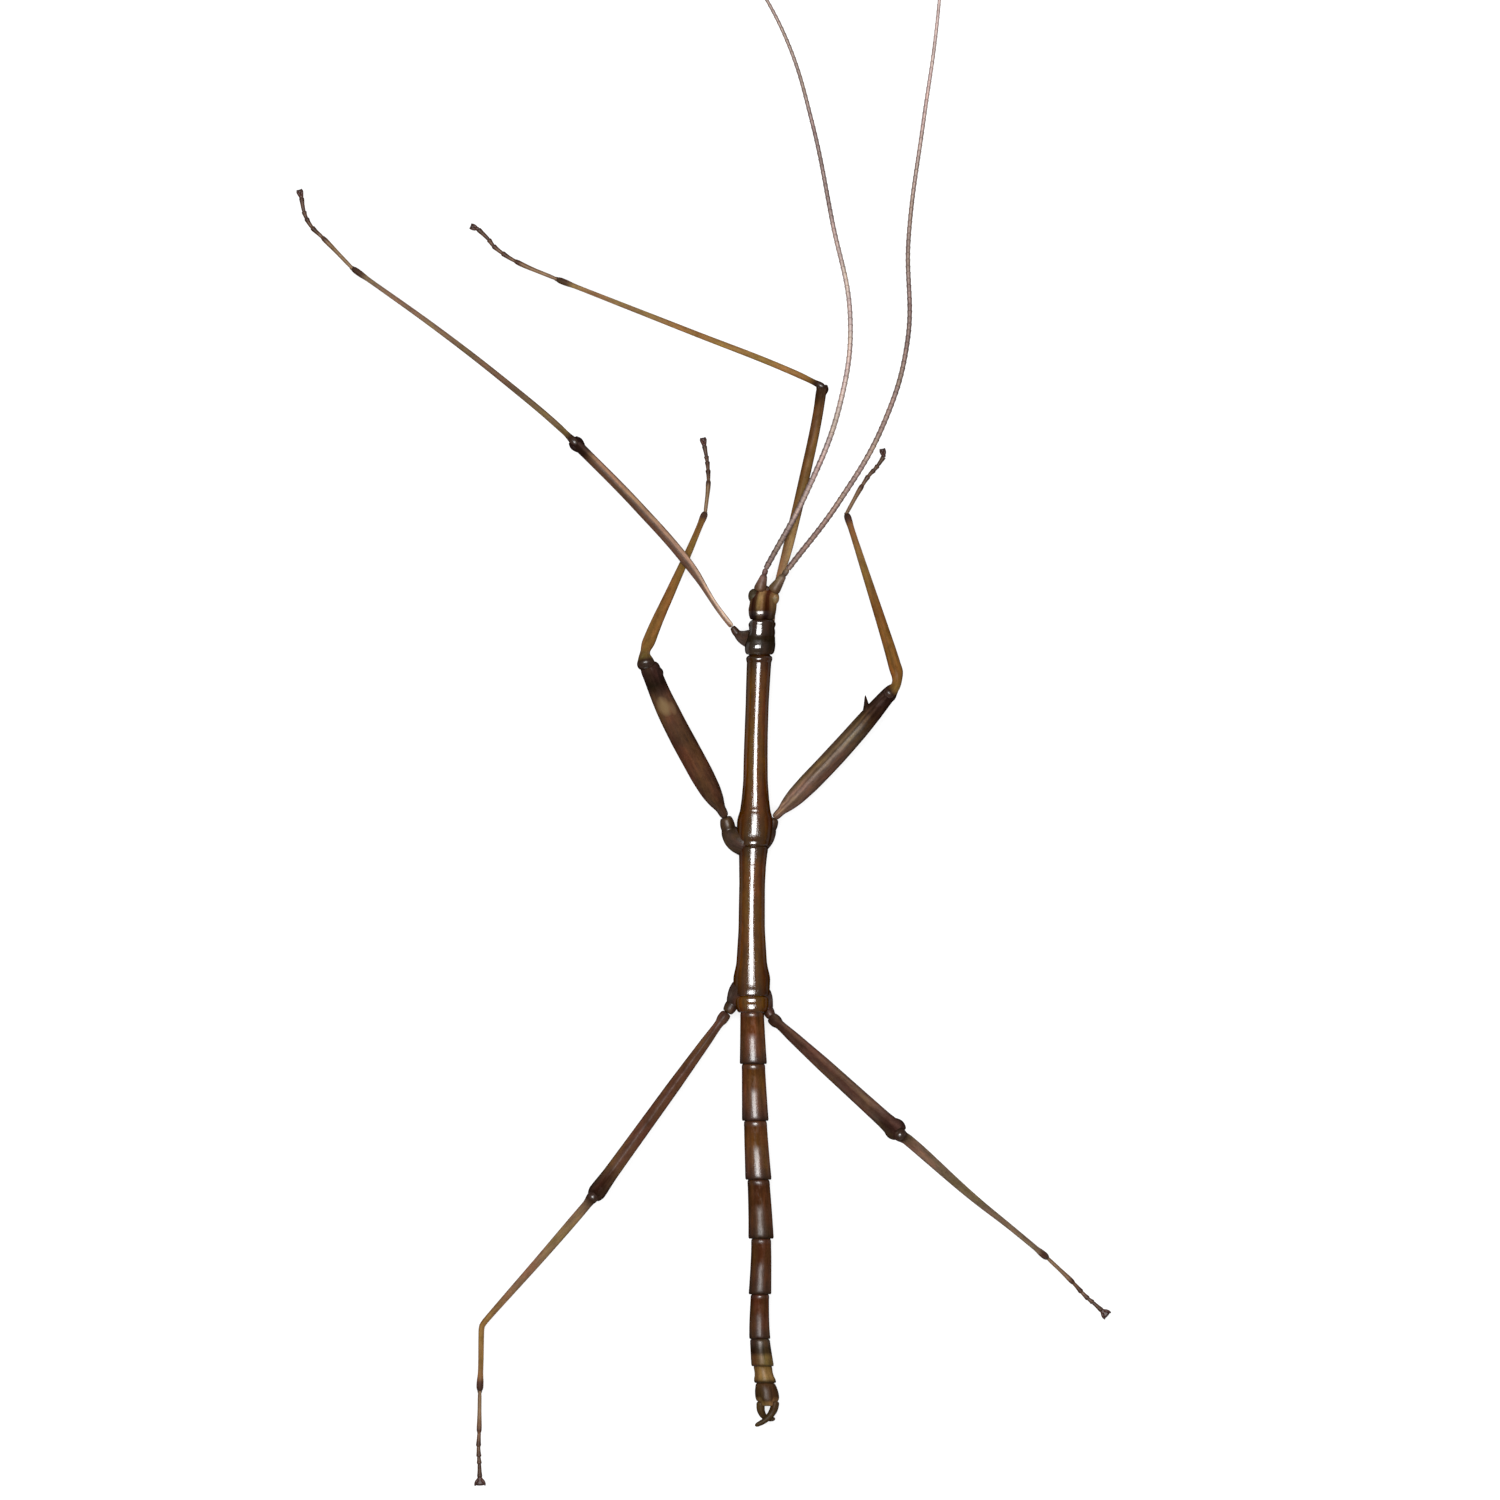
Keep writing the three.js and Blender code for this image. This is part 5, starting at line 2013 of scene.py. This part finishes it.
for leg, profile, knob, shaft, low, knee, aside, back in (
    ("fore_left", FORE_SHIN, 0.8, (94, 79, 67), (110, 94, 82), (92, 78, 54), 0, 0),
    ("fore_right", FORE_SHIN, 0.66, (122, 98, 62), (123, 102, 75), (108, 86, 46), 0, 0),
    ("mid_left", MID_SHIN, 1.7, (113, 84, 47), (107, 84, 47), (92, 77, 40), 0.08, 0.3),
    ("mid_right", MID_SHIN, 1.15, (101, 71, 36), (110, 85, 54), (100, 80, 44), -0.08, 0.15),
    ("hind_left", HIND_SHIN, 1.15, (112, 93, 76), (124, 96, 64), (88, 74, 62), -0.04, 0),
    ("hind_right", STOUT_SHIN, 1.3, (102, 88, 78), (106, 94, 82), (84, 72, 58), -0.06, 0.15),
):
    finish = shin_finish(f"{leg}_shin_shell", shaft, low, knee)
    last_shin = shin(leg, profile, knob, finish, aside, back)
print("shin faces:", len(last_shin.data.polygons))

# %% [markdown]
# ## Finishes of the feet
#
# The small joints of a foot are light brown with a dark seam between them, so the
# ramp along turns dark at each seam. The claws are darker than the joints.

# %% Mix the finishes of the feet
foot_finish = chitin(
    "foot_shell",
    along=(
        (0, (102, 84, 64)), (0.15, (116, 98, 76)), (0.4, (104, 84, 64)), (0.47, (62, 44, 36)),
        (0.52, (94, 74, 57)), (0.62, (60, 43, 35)), (0.68, (90, 70, 54)), (0.76, (58, 42, 35)),
        (0.8, (80, 62, 50)), (0.86, (60, 44, 37)), (0.92, (72, 55, 44)), (1, (55, 41, 34)),
    ),
    across=((0, (100, 84, 80)), (0.4, (140, 128, 122)), (1, (96, 80, 76))),
    gloss=((0, 0.15), (1, 0.15)),
    hues=0.3,
)
claw_finish = chitin(
    "claw_shell",
    along=((0, (72, 50, 45)), (0.5, (60, 41, 38)), (1, (46, 32, 30))),
    across=((0, (110, 98, 94)), (0.5, (132, 122, 116)), (1, (104, 92, 88))),
    gloss=((0, 0.2), (1, 0.2)),
    hues=0.3,
)
print("foot finishes:", foot_finish.name, claw_finish.name)

# %% [markdown]
# ## The five joints of a foot
#
# The tarsus has five small joints. The first is nearly as long as the other four
# together, and each widens to a soft pad at its end. One profile is repeated five
# times along one tube, and its narrow first ring makes the waist between two joints.

# %% Draw a tarsus
TARSUS_ENDS = (0.48, 0.64, 0.76, 0.84, 1.0)
JOINT = ((0.02, 0.3), (0.1, 0.36), (0.5, 0.37), (0.8, 0.46), (0.93, 0.5), (0.99, 0.4))
JOINT_HEIGHT = 0.94
JOINT_DROP = -0.02


def tarsus(leg):
    """The five joints of one foot."""
    line, length = bone(LEGS[leg]["tarsus"])
    rings = [(-0.22, 0.24, 0.24, 0, 0), (-0.12, 0.34, 0.34, 0, 0)]
    start = 0
    for end in TARSUS_ENDS:
        for share, wide in JOINT:
            x = (start + share * (end - start)) * length
            rings.append((x, wide, wide * JOINT_HEIGHT, 0, JOINT_DROP * wide))
        start = end
    piece = tube(f"tarsus_{leg}", rings, 12, gap=0.6)
    smooth(piece)
    bend(piece, line)
    settle(piece, [f"tarsus_{leg}"], foot_finish)
    return piece


print("the joints of a tarsus end at", TARSUS_ENDS)

# %% [markdown]
# ## Pad and claws
#
# After the last joint come a sticky pad and two curved claws. The pad is a short
# swollen tube whose underside is flattened to the floor. Some feet stand on a spread
# pad with their claws apart, and others rest with both drawn in, so the foot takes
# its spread as a number.

# %% Draw a foot
CLAW = ((0, 0.28), (0.2, 0.34), (0.5, 0.28), (0.8, 0.17), (1, 0.05))
PAD = (
    (-0.08, 0.34), (0.02, 0.46), (0.18, 0.62), (0.4, 0.9), (0.54, 1.0), (0.66, 0.86),
    (0.74, 0.44),
)
NARROW = 0.36
PAD_THICK = 0.26
PAD_MIDDLE = 0.19
SOLE = 0.07


def foot(leg, spread):
    """spread is 1 for a foot whose pad and claws are pressed wide apart."""
    tip = Vector(LEGS[leg]["tarsus"][-1])
    rings = []
    for x, wide in PAD:
        pressed = NARROW + (wide - NARROW) * spread
        rings.append((x, pressed, PAD_THICK * (0.5 + wide), 0, PAD_MIDDLE))
    pad = tube(f"foot_{leg}", rings, 12)
    smooth(pad)
    claws = []
    for side in (-1, 1):
        out = side * max(0.5, spread)
        hook = (
            (0.16, out * 0.12, 0.3), (0.42, out * 0.3, 0.36), (0.66, out * 0.38, 0.26),
            (0.74, out * 0.38, 0.08),
        )
        claws.append(strand("claw", hook, CLAW, 8))
    join(pad, *claws)
    bpy.ops.object.mode_set(mode="EDIT")
    pick(pad, lambda co: co.z < SOLE)
    bpy.ops.transform.resize(value=(1, 1, 0), center_override=(0, 0, 0.004))
    bpy.ops.object.mode_set(mode="OBJECT")
    place(pad, (tip.x, tip.y, 0), turn=(0, 0, LEGS[leg]["heading"]))
    settle(pad, [f"foot_{leg}"], claw_finish)
    return pad


print("half spread, a 1 mm pad is", round(NARROW + (1 - NARROW) * 0.5, 2), "mm wide")

# %% [markdown]
# ## Six feet
#
# The hind feet press flat on the floor and are spread the most. The two right feet
# before them are drawn in the most.

# %% Model the feet
SPREAD = {
    "fore_left": 0.5,
    "fore_right": 0.25,
    "mid_left": 0.5,
    "mid_right": 0.25,
    "hind_left": 1.15,
    "hind_right": 1.0,
}
for leg in LEGS:
    last_tarsus = tarsus(leg)
    last_foot = foot(leg, SPREAD[leg])
print("tarsus and foot faces:", len(last_tarsus.data.polygons), len(last_foot.data.polygons))

# %% [markdown]
# ## Claspers
#
# A male ends in two curved claspers that hold the female. Here they cross, and the
# right one lies on top. Each is a strand through four points, thick at its base.

# %% Model the claspers
CLASPER = ((0, 0.6), (0.06, 0.8), (0.3, 0.76), (0.55, 0.6), (0.75, 0.5), (0.93, 0.42), (1, 0.2))
left_hook = (
    (0.77, -35.35, 2.45), (0.86, -36.35, 2.3), (1.3, -36.85, 2.12), (2.1, -36.98, 2.05),
)
right_hook = ((2.12, -35.3, 2.5), (1.9, -36.2, 2.6), (1.25, -37.0, 2.7), (0.26, -37.58, 2.65))
left_clasper = strand("left_clasper", left_hook, CLASPER, 14)
settle(left_clasper, ["cercus_left"], dark_finish)
right_clasper = strand("right_clasper", right_hook, CLASPER, 14)
settle(right_clasper, ["cercus_right"], dark_finish)
print("clasper faces:", len(left_clasper.data.polygons))

# %% [markdown]
# ## Floor
#
# The model lies on plain pale paper. The floor is many times larger than the model,
# so its edge never shows. It glows a little by itself, which keeps it evenly pale
# and throws soft light up at the underside of the legs.

# %% Lay the floor
FLOOR_SIZE = 1.6
PAPER_GREY = 0.26
PAPER_GLOW = 0.75
everything_off()
bpy.ops.mesh.primitive_plane_add(size=FLOOR_SIZE, location=(0, 0, 0))
floor = bpy.context.object
floor.name = "floor"
paper = bpy.data.materials.new("pale_floor")
paper.use_nodes = True
sheet = paper.node_tree.nodes["Principled BSDF"]
sheet.inputs["Base Color"].default_value = level(PAPER_GREY)
sheet.inputs["Roughness"].default_value = 0.9
sheet.inputs["Specular IOR Level"].default_value = 0.1
sheet.inputs["Emission Color"].default_value = (1, 1, 1, 1)
sheet.inputs["Emission Strength"].default_value = PAPER_GLOW
floor.data.materials.append(paper)
print("floor:", floor.dimensions.x, "m wide")

# %% [markdown]
# ## Light
#
# One square lamp hangs a metre above the model, a little to the left and towards the
# head, and faces the thorax. It draws the thin white line down the polished back.
# The grey world around fills in the shadows.

# %% Hang the lamp
LAMP_SIZE = 0.5
LAMP_WATTS = 16
WORLD_LIGHT = 0.2
bpy.ops.object.light_add(type="AREA", location=(-0.04, 0.04, 1.0), rotation=(-0.04, -0.04, 0))
lamp = bpy.context.object
lamp.name = "lamp"
lamp.data.size = LAMP_SIZE
lamp.data.energy = LAMP_WATTS
lamp.visible_camera = False
world = bpy.data.worlds.new("studio")
world.use_nodes = True
background = world.node_tree.nodes["Background"]
background.inputs["Color"].default_value = (1, 1, 1, 1)
background.inputs["Strength"].default_value = WORLD_LIGHT
bpy.context.scene.world = world
print("lamp:", lamp.data.energy, "W")

# %% [markdown]
# ## Camera
#
# The camera hangs far above the model and looks straight down with a long lens, so
# the legs hardly swell as they rise towards it. At that distance the picture is
# 135 mm wide at the floor, a little less than the whips need.

# %% Hang the camera
FAR = 4.0
SENSOR = 36
PICTURE = 135 * MM
bpy.ops.object.camera_add(location=(4.281 * MM, -2.891 * MM, FAR), rotation=(0, 0, 0))
camera = bpy.context.object
camera.name = "camera"
camera.data.sensor_width = SENSOR
camera.data.lens = SENSOR * FAR / PICTURE
camera.data.clip_end = 10
bpy.context.scene.camera = camera
bpy.context.scene.view_settings.view_transform = "Standard"
print("lens:", round(camera.data.lens), "mm")
